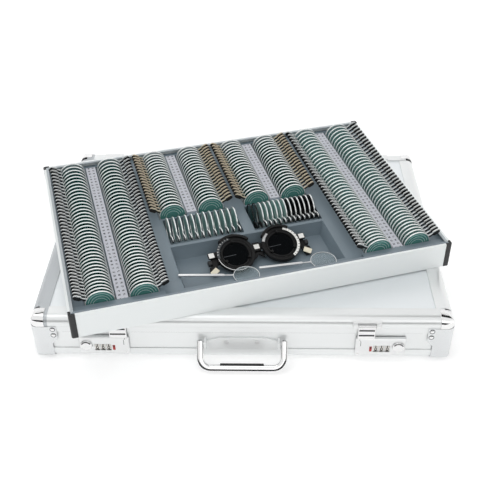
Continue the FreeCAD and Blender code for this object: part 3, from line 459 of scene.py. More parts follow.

# %% [markdown]
# A trial lens is a disc of coated glass in a thin metal rim. The coating throws back a blue-green,
# and dozens of lenses behind each other deepen it, so the glass is a teal that lets only part of
# the light through. It is painted paler in the two columns on the right, as painted light, and is
# paler in the rows. The rims are silver, and so are the tabs of the long columns, but those of the
# short columns are gilt.

# %% Silver, gilt and glass
rim_silver = finish("Silver lens rim", "#F6F8F7", 0.25, 0.5)
rim_gilt = finish("Gilt lens tab", "#EADCC2", 0.3, 0.35)
lit_rim_arcs = finish("Painted light of rims seen through glass", "#B9D2CF", 0.4)
# The lower part of each tab is painted shade, dark on the silver tabs and brown on the gilt ones.
silver_tab_painted_shade = finish("Painted shade on silver tab", "#0B0D0D", 0.4)
gilt_tab_painted_shade = finish("Painted shade on gilt tab", "#1F1A14", 0.4)
lens_glass = finish("Coated teal glass", "#2F6862", 0.05, 0.0, Alpha=0.42)
pale_lit_glass = finish("Coated glass with painted light", "#79A7A2", 0.05, 0.0, Alpha=0.4)
prism_glass = finish("Prism glass", "#B5DDD7", 0.05, 0.0, Alpha=0.75)
front_glass = finish("Front glass with painted light", "#5E9C95", 0.05, 0.0, Alpha=0.7)
clear_glass = finish("Clear glass", "#A9BCC0", 0.04, 0.0, Alpha=0.1)
dark_glass = finish("Dark glass", "#0C0E10", 0.05)
black_disc = finish("Black disc", "#0B0B0C", 0.35)

# %% [markdown]
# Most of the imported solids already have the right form. They get their finish, and the ones whose
# edges catch the light are copied, merged back into whole faces and given a small round on every
# edge, as a pressed or moulded piece has. The base's corner caps are also drawn in by twelve
# percent, because they reach a little less far along the walls in the photograph.

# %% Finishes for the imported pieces
plain = {
    sheet_aluminium: ["base_floor_panel"],
    lining_cloth: ["base_lining", "lid_lining"],
    satin_steel: ["hinge_pins", "lock_axles", "lock_case_right", "lock_case_left"],
    tray_aluminium: ["tray_board"],
}
for material, names in plain.items():
    for name in names:
        mesh = frame["nodes"][name].data
        mesh.materials.clear()
        mesh.materials.append(material)

eased_pieces = [
    (sheet_aluminium, 0.15, ["base_wall_panels"]),
    (lid_aluminium, 0.15, ["lid_top_panel"]),
    (profile_aluminium, 0.3, ["base_bottom_edges", "base_rim_edges"]),
    (shaded_lid_profile, 0.3, ["lid_edges"]),
    (polished_steel, 0.25, ["lid_corner_caps"]),
    (satin_steel, 0.3, ["hinge_base_leaves", "hinge_lid_straps", "hasp_brackets", "handle_screws"]),
    (plate_steel, 0.5, ["handle_plate"]),
    (polished_steel, 1.1, ["lock_button_right", "lock_button_left"]),
    (polished_steel, 0.3, ["hasp_right", "hasp_left"]),
    (grip_rubber, 0.3, ["handle_grip"]),
    (tray_aluminium, 0.3, ["tray_rails"]),
    (black_plastic_and_painted_shade, 0.4, ["tray_corners"]),
    (insert_plastic, 0.9, ["tray_insert"]),
    (black_paint, 0.5, ["frame_bar", "frame_nose_rest", "temple_left", "temple_right"]),
    (dial_plastic, 0.4, ["dial_right_1", "dial_right_2", "dial_right_3",
                         "dial_left_1", "dial_left_2", "dial_left_3"]),
]
for material, width, names in eased_pieces:
    for name in names:
        eased(name, material, width)
print("eased", sum(len(names) for _, _, names in eased_pieces), "packed pieces")


CASE_CORNER = (270.0, 200.0, 0.0)
CAP_SHARE = 0.88


def drawn_in(points):
    """Points of the base's corner caps, drawn towards the case's own corners in X and Y."""
    corner = np.sign(points) * CASE_CORNER
    return np.where((1, 1, 0), corner + CAP_SHARE * (points - corner), points)


eased("base_corner_caps", cap_steel, 0.25, shape=drawn_in)

# %% [markdown]
# One lens is a rim, a glass and a tab. The rim is a ring with a rounded section, the glass one
# ladder, and the tab a flat outline with a narrow neck and a round pad. The lower part of the pad
# carries painted shade on both faces. There are hundreds of lenses, so each has only a few dozen
# faces. A lens is made about its own middle, with its tab leaning up by the angle at which real
# ones stand in a tray, and is then copied to every place in a column.

# %% One lens
LENS_R = 19.0
HALF_T = 1.0
TAB_HALF_T = 0.5
SHADE_HALF_T = 0.56
TAB_LIFT = 28.0
ROW_LIFT = 12.0
TAB = [(18.3, -1.9), (24.5, -1.7), (26.5, -3.6), (33.0, -3.6), (35.2, -2.4), (35.8, 0),
       (35.2, 2.4), (33.0, 3.6), (26.5, 3.6), (24.5, 1.7), (18.3, 1.9)]
# Outline of the painted shade over the tab's lower part.
SHADED = [(18.3, -1.95), (24.5, -1.75), (26.5, -3.65), (33.0, -3.65), (35.3, -2.4), (35.85, 0.3),
          (34.4, 1.7), (26.8, 1.7), (24.6, 0.6), (18.3, 0.6)]


def lens_rim(half_t):
    """Thin rim about the middle."""
    return ring([(17.9, 0.7 * half_t), (18.5, half_t), (19.0, 0.6 * half_t), (19.0, -0.6 * half_t),
                 (18.5, -half_t), (17.9, -0.7 * half_t)], 24, closed=False)


def lens_tab(lift):
    """Tab that points along X and is lifted towards Y."""
    return moved(prism(TAB, -TAB_HALF_T, TAB_HALF_T), at(0, 0, 0, lift))


def tab_shade(lift):
    """Painted shade on the lower part of both faces of the tab."""
    return moved(prism(SHADED, -SHADE_HALF_T, SHADE_HALF_T), at(0, 0, 0, lift))


def lens_face():
    """The glass, whose two faces are drawn as one at its middle."""
    return ladder(18.0, 0.0, 24)


def column_places(x, z, back, front, count, spread):
    """Places along a column: gaps shrink evenly towards the front by the spread."""
    mean = (back - front) / (count - 1)
    gaps = mean + spread * (1 - 2 * np.arange(count - 1) / (count - 2))
    y = back - np.concatenate([[0], np.cumsum(gaps)])
    return np.c_[np.full(count, x), y, np.full(count, z)]


# %% [markdown]
# The eight columns stand in four pairs about a printed strip, tabs outwards. The two outer pairs
# run the whole length and hold forty lenses a column. The inner pairs stop at the rows in front of
# them and hold twenty. The centres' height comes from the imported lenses: they stand on the same
# floor, so their middle is one radius above the lowest point. The first lens of the column on the
# left is left out here, because it is the loose one.

# %% Columns of lenses
COLUMN_OFF = 27.5
COLUMN_BACK = 150.0
# Front end of a column, how many lenses it holds, and how much its gaps shrink.
LONG = (-150.0, 40, 1.5)
SHORT = (5.0, 20, 0.0)
lens_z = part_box("sphere_lenses_2")[0].z / MM + LENS_R - TRAY_AT[2]


def standing(side):
    """Lays a lens across the tray: its X to the side that the tab points to, its Y up."""
    return axes((side, 0, 0), (0, 0, 1), (0, -1, 0))


def column(part, side, places):
    """The part at every place of a column, turned to the column's side."""
    return repeated(moved(part, standing(side)), places)


metal = joined(lens_rim(HALF_T), lens_tab(TAB_LIFT))
fronts = []
sphere = 0
short = {"left": [], "right": []}
for pair, centre in enumerate(PAIR_PITCH * k for k in (-1.5, -0.5, 0.5, 1.5)):
    for side in (-1, 1):
        x = centre + side * COLUMN_OFF
        if pair in (0, 3):
            places = column_places(x, lens_z, COLUMN_BACK, *LONG)
            sphere += 1
            if sphere == 1:
                loose_place = places[-1]
                places = places[:-1]
            else:
                fronts.append((side, places[-1:]))
            piece("sphere_rims_%d" % sphere, column(metal, side, places), IN_TRAY, "tray",
                  rim_silver, ["sphere_lenses_%d" % sphere])
            piece("sphere_shades_%d" % sphere, column(tab_shade(TAB_LIFT), side, places), IN_TRAY,
                  "tray", silver_tab_painted_shade)
            # The two columns on the right get glass painted paler, as painted light.
            piece("sphere_glass_%d" % sphere, column(lens_face(), side, places), IN_TRAY,
                  "tray", lens_glass if sphere < 3 else pale_lit_glass)
        else:
            places = column_places(x, lens_z, COLUMN_BACK, *SHORT)
            short["left" if x < 0 else "right"].append((side, places))
            fronts.append((side, places[-1:]))
for hand, both in short.items():
    rims, tabs, shades, glass = [joined(*[column(part, side, places) for side, places in both])
                                 for part in (lens_rim(HALF_T), lens_tab(TAB_LIFT),
                                              tab_shade(TAB_LIFT), lens_face())]
    piece("cylinder_rims_" + hand, rims, IN_TRAY, "tray", rim_silver)
    piece("cylinder_tabs_" + hand, tabs, IN_TRAY, "tray", rim_gilt, ["cylinder_lenses_" + hand])
    piece("cylinder_shades_" + hand, shades, IN_TRAY, "tray", gilt_tab_painted_shade)
    piece("cylinder_glass_" + hand, glass, IN_TRAY, "tray", lens_glass)
print("lens centres stand", round(lens_z, 2), "mm above the tray's foot")

# %% [markdown]
# One lens lifts out by hand, so it rides on its own body. In front of each column the light falls
# into the first glass. It looks brighter there and shows the rims behind it as arcs, and both are
# painted light on thin sheets just before the glass. The loose lens carries its own.

# %% Loose lens and first glasses
FRONT_ARCS = [(14.6, 0.3), (11.8, -0.6), (9.0, -1.6)]


def arc_behind(r, lift):
    """Thin arc of a rim that is seen through the first glass."""
    section = [(r, 0.45), (r + 0.55, 0.45), (r + 0.55, 0.6), (r, 0.6)]
    return moved(ring(section, 20, True, 10, 170), at(0, lift, 0))


front_disc = moved(ladder(17.8, 0.0, 24), at(0, 0, 0.35))
front_arcs = joined(*[arc_behind(r, lift) for r, lift in FRONT_ARCS])
piece("loose_rim", column(metal, -1, [loose_place]), IN_TRAY, "loose_lens_body", rim_silver,
      ["loose_lens"])
piece("loose_shade", column(tab_shade(TAB_LIFT), -1, [loose_place]), IN_TRAY, "loose_lens_body",
      silver_tab_painted_shade)
piece("loose_glass", column(lens_face(), -1, [loose_place]), IN_TRAY, "loose_lens_body",
      lens_glass)
for name, part, material in (("front_glass", front_disc, front_glass),
                             ("front_arcs", front_arcs, lit_rim_arcs)):
    piece(name, joined(*[column(part, side, place) for side, place in fronts]), IN_TRAY, "tray",
          material)
    piece("loose_" + name, column(part, -1, [loose_place]), IN_TRAY, "loose_lens_body", material)

# %% [markdown]
# The tray's rail is folded inwards at the top into a flat lip, mitred at the corners, with painted
# shade on its front side. Before the long columns the insert rises to meet it. The printed strips
# lie on the insert between the columns of each pair.

# %% Lip, front ramps and printed strips
TRAY_HALF = (252.5, 171.5)
LIP = (3.4, 7.0)
LIP_Z = (35.6, 37.0)
RAMP = [(-164.5, 30.0), (-164.5, 35.5), (-152.4, 32.6), (-152.4, 30.0)]
RAMP_X = ((-245.5, -131.5), (131.5, 245.5))
STRIP_W = 14.0
STRIP_Z = (30.0, 32.0)
STRIP_BACK = 158.0
STRIP_FRONTS = ((-1.5, -151.5), (-0.5, 4.0), (0.5, 4.0), (1.5, -151.5))


def lip_side(long, wide):
    """Mitred strip of the lip along -Y of a tray with these half sizes."""
    near, far = LIP
    return prism([(near - long, near - wide), (long - near, near - wide),
                  (long - far, far - wide), (far - long, far - wide)], *LIP_Z)


def printed_strip(k, front):
    """Strip between the two columns of a pair, from its front end to the common back end."""
    middle = (k * PAIR_PITCH, (STRIP_BACK + front) / 2)
    return prism(rounded(STRIP_W, STRIP_BACK - front, 0.6) + middle, *STRIP_Z)


lip = [moved(lip_side(*(TRAY_HALF if k % 2 == 0 else TRAY_HALF[::-1])), at(0, 0, 0, 90 * k))
       for k in range(4)]
piece("tray_lip_front", lip[0], IN_TRAY, "tray", shaded_lip)
piece("tray_lip", joined(*lip[1:]), IN_TRAY, "tray", lip_aluminium)
UPRIGHT = axes((0, 1, 0), (0, 0, 1), (1, 0, 0))
ramps = joined(*[moved(prism(RAMP, x0, x1), UPRIGHT) for x0, x1 in RAMP_X])
piece("insert_ramps", ramps, IN_TRAY, "tray", insert_plastic)
piece("printed_strips", joined(*[printed_strip(k, front) for k, front in STRIP_FRONTS]), IN_TRAY,
      "tray", label_plastic, ["label_strips"])

# %% [markdown]
# Two short rows stand in front of the gilt columns and face sideways. The left row holds prisms.
# The right row holds the odd lenses of a set: two in dark rims, then pale glasses, and then black
# discs, in silver rims.

# %% Rows of prisms and accessory lenses
ROW_Y = -23.0
PRISM_ROW = (-101.0, -7.0, 12)
ODD_ROW = (17.0, 106.0, 14)
row_side = axes((0, -1, 0), (0, 0, 1), (-1, 0, 0))


def row_places(first, last, count, z):
    """Even places along a row."""
    return np.c_[np.linspace(first, last, count), np.full(count, ROW_Y), np.full(count, z)]


prism_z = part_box("prism_lenses")[0].z / MM + LENS_R - TRAY_AT[2]
prism_row = row_places(*PRISM_ROW, prism_z)
odd_row = row_places(*ODD_ROW, prism_z)
row_metal = moved(joined(lens_rim(0.9), lens_tab(ROW_LIFT)), row_side)
row_shade = moved(tab_shade(ROW_LIFT), row_side)
row_faces = moved(lens_face(), row_side)
for name, part, places, material, nodes, slot in (
        ("prism_rims", row_metal, prism_row, rim_silver, ["prism_lenses"], "lens_silver"),
        ("prism_shades", row_shade, prism_row, silver_tab_painted_shade, [], None),
        ("prism_glass", row_faces, prism_row, prism_glass, [], None),
        ("accessory_dark_rims", row_metal, odd_row[:2], black_paint, [], None),
        ("accessory_dark_glass", row_faces, odd_row[:2], lens_glass, [], None),
        ("accessory_rims", row_metal, odd_row[2:], rim_silver, ["accessory_lenses"], "lens_silver"),
        ("accessory_shades", row_shade, odd_row, silver_tab_painted_shade, [], None),
        ("accessory_glass", row_faces, odd_row[2:8], prism_glass, [], None),
        ("accessory_discs", row_faces, odd_row[8:], black_disc, [], None)):
    piece(name, repeated(part, places), IN_TRAY, "tray", material, nodes)

# %% [markdown]
# The trial frame is what the wearer looks through. Each round eye frame carries an arc of a scale
# with a tick every ten degrees, white on the right and dark on the left. All of it is made flat in
# the frame's own axes, X across the eyes and Z out of the front.

# %% Eye frames and scales
# Degrees at which each eye's crest, its scale and its bright edge start and end.
EYE_ARCS = {"left": ((38, 128), (96, 186), (186, 292)),
            "right": ((52, 142), (-62, 66), (126, 160))}
PLATE_AT = (30.4, 6.25)
LABEL_AT = (32.2, 6.2)
TICK = [(23.6, -0.35), (25.4, -0.35), (25.4, 0.35), (23.6, 0.35)]
TICK_STEP = 10


def eye(part, side):
    """The part about an eye's middle."""
    return moved(part, at(side * EYE_HALF, 0, 0))


def ticks(start, end):
    """Small bars that point at the middle, a little inside both ends of a scale."""
    bar = prism(TICK, 6.1, 6.3)
    return joined(*[moved(bar, at(0, 0, 0, a)) for a in np.arange(start + 6, end - 5.9, TICK_STEP)])


for hand, side in (("left", -1), ("right", 1)):
    body = "eye_%s_body" % hand
    crest_arc, scale_arc, edge_arc = EYE_ARCS[hand]
    band = ring([(21.0, 0.5), (21.5, 0), (25.4, 0), (26.0, 0.6), (26.0, 5.2), (25.4, 5.8),
                 (21.8, 5.8), (21.0, 5.2)], 48)
    crest = ring([(25.4, 0.3), (29.2, 0.3), (29.2, 7.6), (28.6, 8.3), (25.4, 8.3)], 16, True,
                 *crest_arc)
    plate = prism(rounded(13, 8.5, 1.0) + np.multiply(PLATE_AT, (side, 1)), 0.1, 2.5)
    piece("eye_band_" + hand, eye(joined(band, crest, plate), side), IN_FRAME, body, black_paint,
          ["eye_frame_" + hand])
    wide = [(22.2, 5.8), (25.7, 5.8), (25.7, 6.2), (22.2, 6.2)]
    slim = [(24.9, 5.8), (25.8, 5.8), (25.8, 6.2), (24.9, 6.2)]
    arc = eye(ring(wide, 30, True, *scale_arc), side)
    piece("eye_scale_" + hand, arc, IN_FRAME, body, white_card if side > 0 else dark_steel_and_painted_shade)
    edge = eye(ring(wide if side > 0 else slim, 20, True, *edge_arc), side)
    piece("eye_edge_" + hand, edge, IN_FRAME, body, satin_steel)
    piece("eye_ticks_" + hand, eye(ticks(*scale_arc), side), IN_FRAME, body,
          black_ink_and_painted_reflection if side > 0 else white_card)
    label = prism(rounded(7.4, 7.0, 0.5) + np.multiply(LABEL_AT, (side, 1)), 2.4, 2.9)
    piece("eye_label_" + hand, eye(label, side), IN_FRAME, body, white_card)

# %% [markdown]
# In each eye frame turns a cell, which holds a dark lens with a slit behind three clips. A knob
# outside each eye slides it along the bar. The bar's sleeves carry small cream tiles, and a white
# label lies over the bridge.

# %% Lens cells, knobs and labels
SLIT_AT = (-8.0, 0.0)
KNOB_AT = (66.0, -2.6, -2.3)
TILES = (("left", (-66.0, -17.0), 33.0), ("right", (66.0, -16.0), -36.0))

for hand, side in (("left", -1), ("right", 1)):
    body = "cell_%s_body" % hand
    cup = ring([(18.0, 2.3), (18.0, 5.0), (18.4, 5.3), (20.2, 5.3), (20.6, 4.9), (20.6, 0.8),
                (20.0, 0.3), (18.0, 0.3)], 48)
    clip = prism(rounded(3.6, 3.2, 0.6) + (18.6, 0), 5.0, 8.0)
    clips = joined(*[moved(clip, at(0, 0, 0, 90 + 120 * k)) for k in range(3)])
    piece("cell_cup_" + hand, eye(joined(cup, clips), side), IN_FRAME, body, black_paint,
          ["axis_cell_" + hand])
    glass = joined(ladder(18.1, 2.6, 48), ladder(18.1, 1.2, 48))
    piece("cell_glass_" + hand, eye(glass, side), IN_FRAME, body, dark_glass)
    slit = prism(rounded(17, 0.8, 0.3) + SLIT_AT, 2.6, 2.75)
    piece("cell_slit_" + hand, eye(slit, side), IN_FRAME, body, dark_steel_and_painted_shade)
    knob = ring([(0, 0), (3.6, 0), (4.0, 0.4), (4.0, 4.6), (3.6, 5.0), (0, 5.0)], 20, closed=False)
    place = axes((0, 1, 0), (0, 0, side), (side, 0, 0), *np.multiply(KNOB_AT, (side, 1, 1)))
    piece("knob_" + hand, moved(knob, place), IN_FRAME, "knob_%s_body" % hand, black_plastic_and_painted_shade,
          ["pd_knob_" + hand])
for hand, centre, lean in TILES:
    tile = moved(prism(rounded(11.0, 7.4, 0.8), -0.3, 0.6), at(*centre, 0, lean))
    piece("sleeve_tile_" + hand, tile, IN_FRAME, "trial_frame", cream_card)
bridge_label = prism(rounded(7.5, 7.0, 0.5) + (0, 6.5), -0.6, -0.05)
piece("bridge_label", bridge_label, IN_FRAME, "trial_frame", white_card)

# %% [markdown]
# A cross cylinder is a round glass in a thin rim on the end of a rod, which the examiner flips in
# front of the eye. Two of them lie level over the front edge of the recess. The glass is clear, so
# the recess shows dark through it. The rods are steel with a thinner neck.

# %% Cross cylinders
# Middle of each glass and far end of its rod, across the tray.
CROSSES = (("left", (-25.7, -152.0), (-109.5, -128.5)), ("right", (78.6, -151.5), (-6.4, -143.0)))
CROSS_Z = 32.25
for hand, centre, end in CROSSES:
    across = np.subtract(end, centre)
    length = float(np.hypot(*across))
    place = at(*centre, CROSS_Z, math.degrees(math.atan2(across[1], across[0])))
    rim = ring([(16.3, -0.8), (16.8, -0.9), (17.0, -0.5), (17.0, 0.5), (16.8, 0.9),
                (16.3, 0.8)], 48)
    rod = ring([(0, 16.4), (0.9, 16.4), (0.9, 27.5), (1.95, 29.0), (1.95, length - 0.6),
                (1.4, length), (0, length)], 16, closed=False)
    body = "cross_%s_body" % hand
    piece("cross_rim_" + hand, moved(joined(rim, moved(rod, UPRIGHT)), place), IN_TRAY, body,
          satin_steel, ["cross_cylinder_" + hand])
    glass = joined(ladder(16.4, 0.5, 48), ladder(16.4, -0.5, 48))
    piece("cross_glass_" + hand, moved(glass, place), IN_TRAY, body, clear_glass)

# %% [markdown]
# A combination lock shows one digit of each wheel through a window. A real wheel has the ten
# digits round it, and here each wheel has ten flats, so a digit is made as text, turned into a
# mesh and laid on its flat. The digits ride on the wheel's own body, so they come round with it.

# %% Digits on the dials
DIAL_R = 7.0
DIGIT_SIZE = 7.4
INK_LIFT = 0.06


def digit_part(text, size):
    """Points and faces of a flat character about its own middle, from Blender's own font."""
    curve = bpy.data.curves.new("digit", "FONT")
    curve.body, curve.size = text, size
    curve.align_x, curve.align_y = "CENTER", "CENTER"
    curve.resolution_u = 2
    curve.offset = 0.2
    holder = bpy.data.objects.new("digit", curve)
    bpy.context.scene.collection.objects.link(holder)
    solved = holder.evaluated_get(bpy.context.evaluated_depsgraph_get())
    mesh = bpy.data.meshes.new_from_object(solved)
    co = np.zeros(len(mesh.vertices) * 3)
    mesh.vertices.foreach_get("co", co)
    faces = [list(p.vertices) for p in mesh.polygons]
    bpy.data.objects.remove(holder)
    return co.reshape(-1, 3), faces


digits = [digit_part(str(k), DIGIT_SIZE) for k in range(10)]
flat_r = DIAL_R * math.cos(math.pi / 10) + INK_LIFT
for hand, side in (("right", 1), ("left", -1)):
    for k in range(3):
        centre = np.array(joint("dial_%s_%d_turn" % (hand, k + 1))["pos_m"]) / MM
        around = []
        for n, digit in enumerate(digits):
            a = math.radians(36 * n)
            out = np.array([0, -math.cos(a), math.sin(a)])
            up = np.array([0, math.sin(a), math.cos(a)])
            around.append(moved(digit, axes((1, 0, 0), up, out, *(centre + flat_r * out))))
        piece("digits_%s_%d" % (hand, k + 1), joined(*around), IN_CASE,
              "dial_%s_%d_body" % (hand, k + 1), black_ink_and_painted_reflection)

# %% [markdown]
# Beside the dials stands a red mark with a dark top, which shows where the digits line up. The
# plate's inner end is bent up and is held by a small screw; the bend is drawn as a dark curve of
# painted shade. The slots of a hasp are drawn as dark strips of painted shade, and a button's edge
# as a dark crescent of painted reflection. The rivets are low domes in rings of painted shadow.
# Dark seams run where the sheet goes into its profiles, and stop at the locks, so that the dials
# turn clear of them.

# %% Trim of the locks, hasps and caps
LOCK_IN = 145.0
LOCK_FACE = 203.4
MARK_AT = (LOCK_IN + 19.4, 24.0)
TIP_AT = (LOCK_IN + 19.4, 26.2)
SCREW_AT = (LOCK_IN + 3.0, 15.6)
HASP_X = 157.5
SLOT_ZS = (56.0, 47.6)
RIVET_X = 240.5
RIVET_ZS = (41.6, 51.5)
SHEET = (267.4, 197.4)
SEAM_ZS = (17.9, 46.4)
# Turn to a wall, how far out that wall is, and where its seams start and end.
SEAMS = [(0, SHEET[1], ((-229.6, -209.5), (-144.5, 144.5), (209.5, 229.6))),
         (180, SHEET[1], ((-229.6, 229.6),)),
         (90, SHEET[0], ((-159.6, 159.6),)),
         (270, SHEET[0], ((-159.6, 159.6),))]
HASP_FACE = -joint("hasp_right_hinge")["pos_m"][1] / MM + 0.85
FACING = axes((1, 0, 0), (0, 0, 1), (0, -1, 0))
CURVE = [(4.3, 40.6), (4.8, 40.6), (5.1, 38.6), (6.6, 36.6), (6.6, 29.0), (6.0, 29.0), (6.0, 36.8),
         (4.6, 38.8)]


def on_front(part, side, depth):
    """The part drawn in X and Z on the right, laid on a plane that faces the front."""
    points, faces = moved(part, FACING)
    return points * (side, 1, 1) + (0, -depth, 0), faces


for hand, side in (("right", 1), ("left", -1)):
    mark = prism(rounded(3.2, 8.4, 0.4) + MARK_AT, 0, 0.3)
    tip = prism(rounded(1.6, 3.0, 0.3) + TIP_AT, 0.2, 0.4)
    bent = prism(CURVE + np.array((LOCK_IN, 0)), 0, 0.1)
    head = ring([(0, 0.7), (1.0, 0.6), (1.6, 0)], 16, closed=False)
    piece("lock_mark_" + hand, on_front(mark, side, LOCK_FACE), IN_CASE, "base", red_paint)
    piece("lock_tip_" + hand, on_front(tip, side, LOCK_FACE), IN_CASE, "base", black_ink_and_painted_reflection)
    # The dark curve is painted shade on the plate where its end bends up.
    piece("lock_curve_" + hand, on_front(bent, side, LOCK_FACE), IN_CASE, "base", dark_steel_and_painted_shade)
    piece("lock_screw_" + hand, on_front(moved(head, at(*SCREW_AT, 0)), side, LOCK_FACE),
          IN_CASE, "base", polished_steel)
    # Dark strips of painted shade lie over the slots of each hasp.
    dark = joined(*[prism(rounded(19.6, 2.4, 0.2) + (HASP_X, z), 0, 0.1) for z in SLOT_ZS])
    piece("hasp_dark_" + hand, on_front(dark, side, HASP_FACE), IN_CASE,
          "hasp_%s_body" % hand, black_plastic_and_painted_shade)
    low, high = [np.array(corner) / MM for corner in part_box("lock_button_" + hand)]
    middle = (low + high) / 2
    # The crescent is a painted reflection on the button's face.
    crescent = moved(ring([(5.6, 0), (7.0, 0), (7.0, 0.12), (5.6, 0.12)], 14, True, 25, 150),
                     at(middle[0] * side, middle[2], 0))
    piece("button_crescent_" + hand, on_front(crescent, side, -low[1] + 0.02), IN_CASE,
          "button_%s_body" % hand, black_ink_and_painted_reflection)
dome = ring([(0, 1.0), (1.3, 0.92), (2.3, 0.6), (3.0, 0)], 20, closed=False)
# A ring of painted shadow lies round each rivet.
rivet_shadow_ring = ring([(2.6, 0), (3.5, 0), (3.5, 0.25), (2.6, 0.25)], 20)
for name, part, material, nodes in (("rivet_rims", rivet_shadow_ring, dark_steel_and_painted_shade, []),
                                    ("rivet_domes", dome, polished_steel, ["base_cap_rivets"])):
    four = [on_front(moved(part, at(RIVET_X, z, 0)), side, CASE_CORNER[1]) for z in RIVET_ZS
            for side in (-1, 1)]
    four += [(points * (1, -1, 1), faces) for points, faces in four]
    piece(name, joined(*four), IN_CASE, "base", material, nodes)


def seam(start, end, z, depth):
    """Seam from start to end at height z on a wall."""
    line = [(start, z - 0.5), (end, z - 0.5), (end, z + 0.3), (start, z + 0.3)]
    return on_front(prism(line, 0, 0.2), 1, depth)


seams = [moved(seam(start, end, z, depth), at(0, 0, 0, turned)) for turned, depth, runs in SEAMS
         for start, end in runs for z in SEAM_ZS]
piece("sheet_seams", joined(*seams), IN_CASE, "base", dark_steel_and_painted_shade)

# %% [markdown]
# The bail is a thick wire bent into a flat U. Its section is a rounded square, carried along the
# middle of the wire: down one arm, round the two bends and up the other arm. Polished, it shows
# the dark bands of the studio as lines along its inner side.

# %% Bail
BAIL_ARM = 53.6
BAIL_TAIL = 5.0
BAIL_REACH = 32.0
BEND_R = 13.6
WIRE_WIDE = (4.3, 4.9)
WIRE_DEEP = 3.95
HANG = math.radians(35.95)
bend = np.radians(np.linspace(0, 90, 9))
arm = [[BAIL_ARM, -BAIL_TAIL], [BAIL_ARM, -BAIL_TAIL + 1.5], [BAIL_ARM, 0.0]]
corner = (BAIL_ARM - BEND_R, BAIL_REACH - BEND_R) + BEND_R * np.c_[np.cos(bend), np.sin(bend)]
half_wire = np.concatenate([arm, corner])
wire = np.concatenate([half_wire, half_wire[::-1] * (-1, 1)])
along_wire = np.gradient(wire, axis=0)
along_wire /= np.linalg.norm(along_wire, axis=1, keepdims=True)
outward = np.c_[along_wire[:, 1], -along_wire[:, 0]]
angle = np.radians(np.arange(0, 360, 22.5))
square = np.c_[np.cos(angle), np.sin(angle)]
square = np.sign(square) * np.abs(square) ** 0.6
wide_half = np.interp(wire[:, 1], (10, BAIL_REACH), WIRE_WIDE)
end_scale = np.where(np.arange(len(wire)) % (len(wire) - 1) == 0, 0.6, 1.0)
section = square[None] * np.stack([wide_half, np.full(len(wire), WIRE_DEEP)], 1)[:, None]
section *= end_scale[:, None, None]
flat = wire[:, None] + section[..., :1] * outward[:, None]
points = np.concatenate([flat, section[..., 1:]], 2).reshape(-1, 3)
faces = grid_faces(len(wire), len(square), False, True)
faces += [list(range(len(square))), list(range(len(points) - len(square), len(points)))]
hung = axes((1, 0, 0), (0, -math.sin(HANG), -math.cos(HANG)),
            (0, math.cos(HANG), -math.sin(HANG)),
            *(np.array(joint("handle_swing")["pos_m"]) / MM * (0, 1, 1)))
piece("bail_wire", (points, faces), hung, "handle", polished_steel, ["handle_bail"])

# %% [markdown]
# The studio is a pale floor that curves up into a backdrop, as for a catalogue picture. Its profile
# is level, then a quarter turn, then upright, so no edge shows behind the case.

# %% Floor
floor_finish = finish("Pale studio floor", "#F4F4F4", 0.8, Emission_Color=card("#FFFFFF"),
                      Emission_Strength=0.3)
FLOOR_Z = -0.4
FRONT = -2500.0
WIDE = 4000.0
BACK = 1500.0
RISE = 700.0
TOP = 3000.0
lift = np.radians(np.linspace(0, 90, 16))
curve = np.c_[BACK + RISE * np.sin(lift), RISE - RISE * np.cos(lift) + FLOOR_Z]
profile = np.concatenate([[[FRONT, FLOOR_Z]], curve, [[BACK + RISE, TOP]]])
floor_points = np.concatenate([np.c_[np.full(len(profile), x), profile] for x in (-WIDE, WIDE)])
floor_mesh = bpy.data.meshes.new("studio_floor")
floor_mesh.from_pydata((floor_points * MM).tolist(), [], grid_faces(2, len(profile)))
floor = bpy.data.objects.new("studio_floor", floor_mesh)
bpy.context.scene.collection.objects.link(floor)
floor_mesh.polygons.foreach_set("use_smooth", np.ones(len(floor_mesh.polygons), bool))
floor_mesh.materials.append(floor_finish)

# %% [markdown]
# Soft light comes from all sides. Two dark bands cross the white sky, one high behind the case and
# one low in front, and polished metal shows them as the black curves that make it look like metal.
# The camera itself sees the sky without its bands. Two large soft lights add a little from above
# and from the front.

# %% Sky and lights
# Middle and half width of each dark band, in degrees over the top from level at the back.
DARK_BANDS = [(72.0, 12.0), (170.0, 12.0)]
BAND_SOFT = 2.0
BAND_LEVEL = 0.02
WORLD_POWER = 0.95
world = bpy.data.worlds.new("Studio")
world.use_nodes = True
tree = world.node_tree
way = add(tree, "ShaderNodeSeparateXYZ", {0: add(tree, "ShaderNodeTexCoord").outputs["Generated"]})
over = add(tree, "ShaderNodeMath", {0: way.outputs[2], 1: way.outputs[1]}, operation="ARCTAN2")
level = None
for middle, half in DARK_BANDS:
    off = add(tree, "ShaderNodeMath", {0: over.outputs[0], 1: math.radians(middle)},
              operation="SUBTRACT")
    far = add(tree, "ShaderNodeMath", {0: off.outputs[0]}, operation="ABSOLUTE")
    lit = add(tree, "ShaderNodeMapRange", {"Value": far.outputs[0], "To Min": BAND_LEVEL,
                                           "From Min": math.radians(half - BAND_SOFT),
                                           "From Max": math.radians(half + BAND_SOFT)})
    level = lit if level is None else add(tree, "ShaderNodeMath", {
        0: level.outputs[0], 1: lit.outputs[0]}, operation="MULTIPLY")
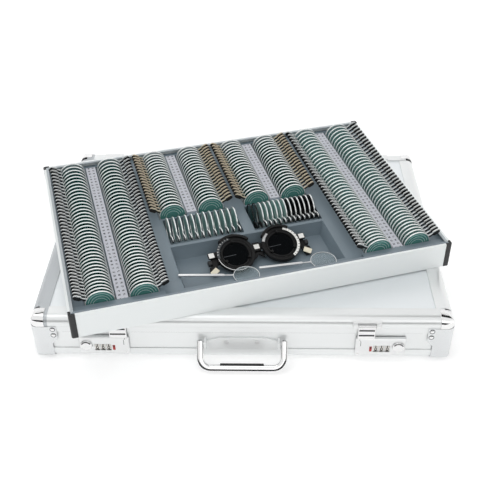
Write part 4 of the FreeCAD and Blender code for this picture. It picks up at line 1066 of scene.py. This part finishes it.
seen = add(tree, "ShaderNodeLightPath").outputs["Is Camera Ray"]
level = add(tree, "ShaderNodeMath", {0: level.outputs[0], 1: seen}, operation="MAXIMUM")
power = add(tree, "ShaderNodeMath", {0: level.outputs[0], 1: WORLD_POWER}, operation="MULTIPLY")
tree.links.new(power.outputs[0], tree.nodes["Background"].inputs[1])
tree.nodes["Background"].inputs[0].default_value = card("#FFFFFF")
bpy.context.scene.world = world


def soft_light(name, place, target, width, height, power):
    """Rectangular light that faces a point."""
    data = bpy.data.lights.new(name, "AREA")
    data.shape, data.size, data.size_y, data.energy = "RECTANGLE", width * MM, height * MM, power
    light = bpy.data.objects.new(name, data)
    light.location = [v * MM for v in place]
    light.rotation_mode = "QUATERNION"
    light.rotation_quaternion = (Vector(target) - Vector(place)).to_track_quat("-Z", "Y")
    bpy.context.scene.collection.objects.link(light)


soft_light("overhead", (-300, 100, 1600), (0, 0, 0), 1600, 1000, 5)
soft_light("front", (500, -1700, 1100), (0, 0, 50), 1400, 800, 2)

# %% [markdown]
# The camera stands where the photographer's did: the place and lens were worked out from the
# case's straight edges. It looks down by the pitch, aside by the yaw and leans by the roll.

# %% Camera
CAMERA_AT = (19.2, -941.4, 768.1)
PITCH, YAW, ROLL = 38.33, -0.68, 0.13
LENS = 58.4
pitch, yaw = math.radians(PITCH), math.radians(YAW)
ahead = Vector((math.sin(yaw) * math.cos(pitch), math.cos(yaw) * math.cos(pitch), -math.sin(pitch)))
camera_data = bpy.data.cameras.new("camera")
camera_data.lens = LENS
camera_data.sensor_width = 36.0
camera_data.clip_end = 20.0
camera = bpy.data.objects.new("camera", camera_data)
camera.location = [v * MM for v in CAMERA_AT]
camera.rotation_mode = "QUATERNION"
camera.rotation_quaternion = (Matrix.Rotation(math.radians(ROLL), 3, ahead).to_quaternion()
                              @ ahead.to_track_quat("-Z", "Y"))
bpy.context.scene.collection.objects.link(camera)
bpy.context.scene.camera = camera
bpy.context.scene.view_settings.view_transform = "Standard"
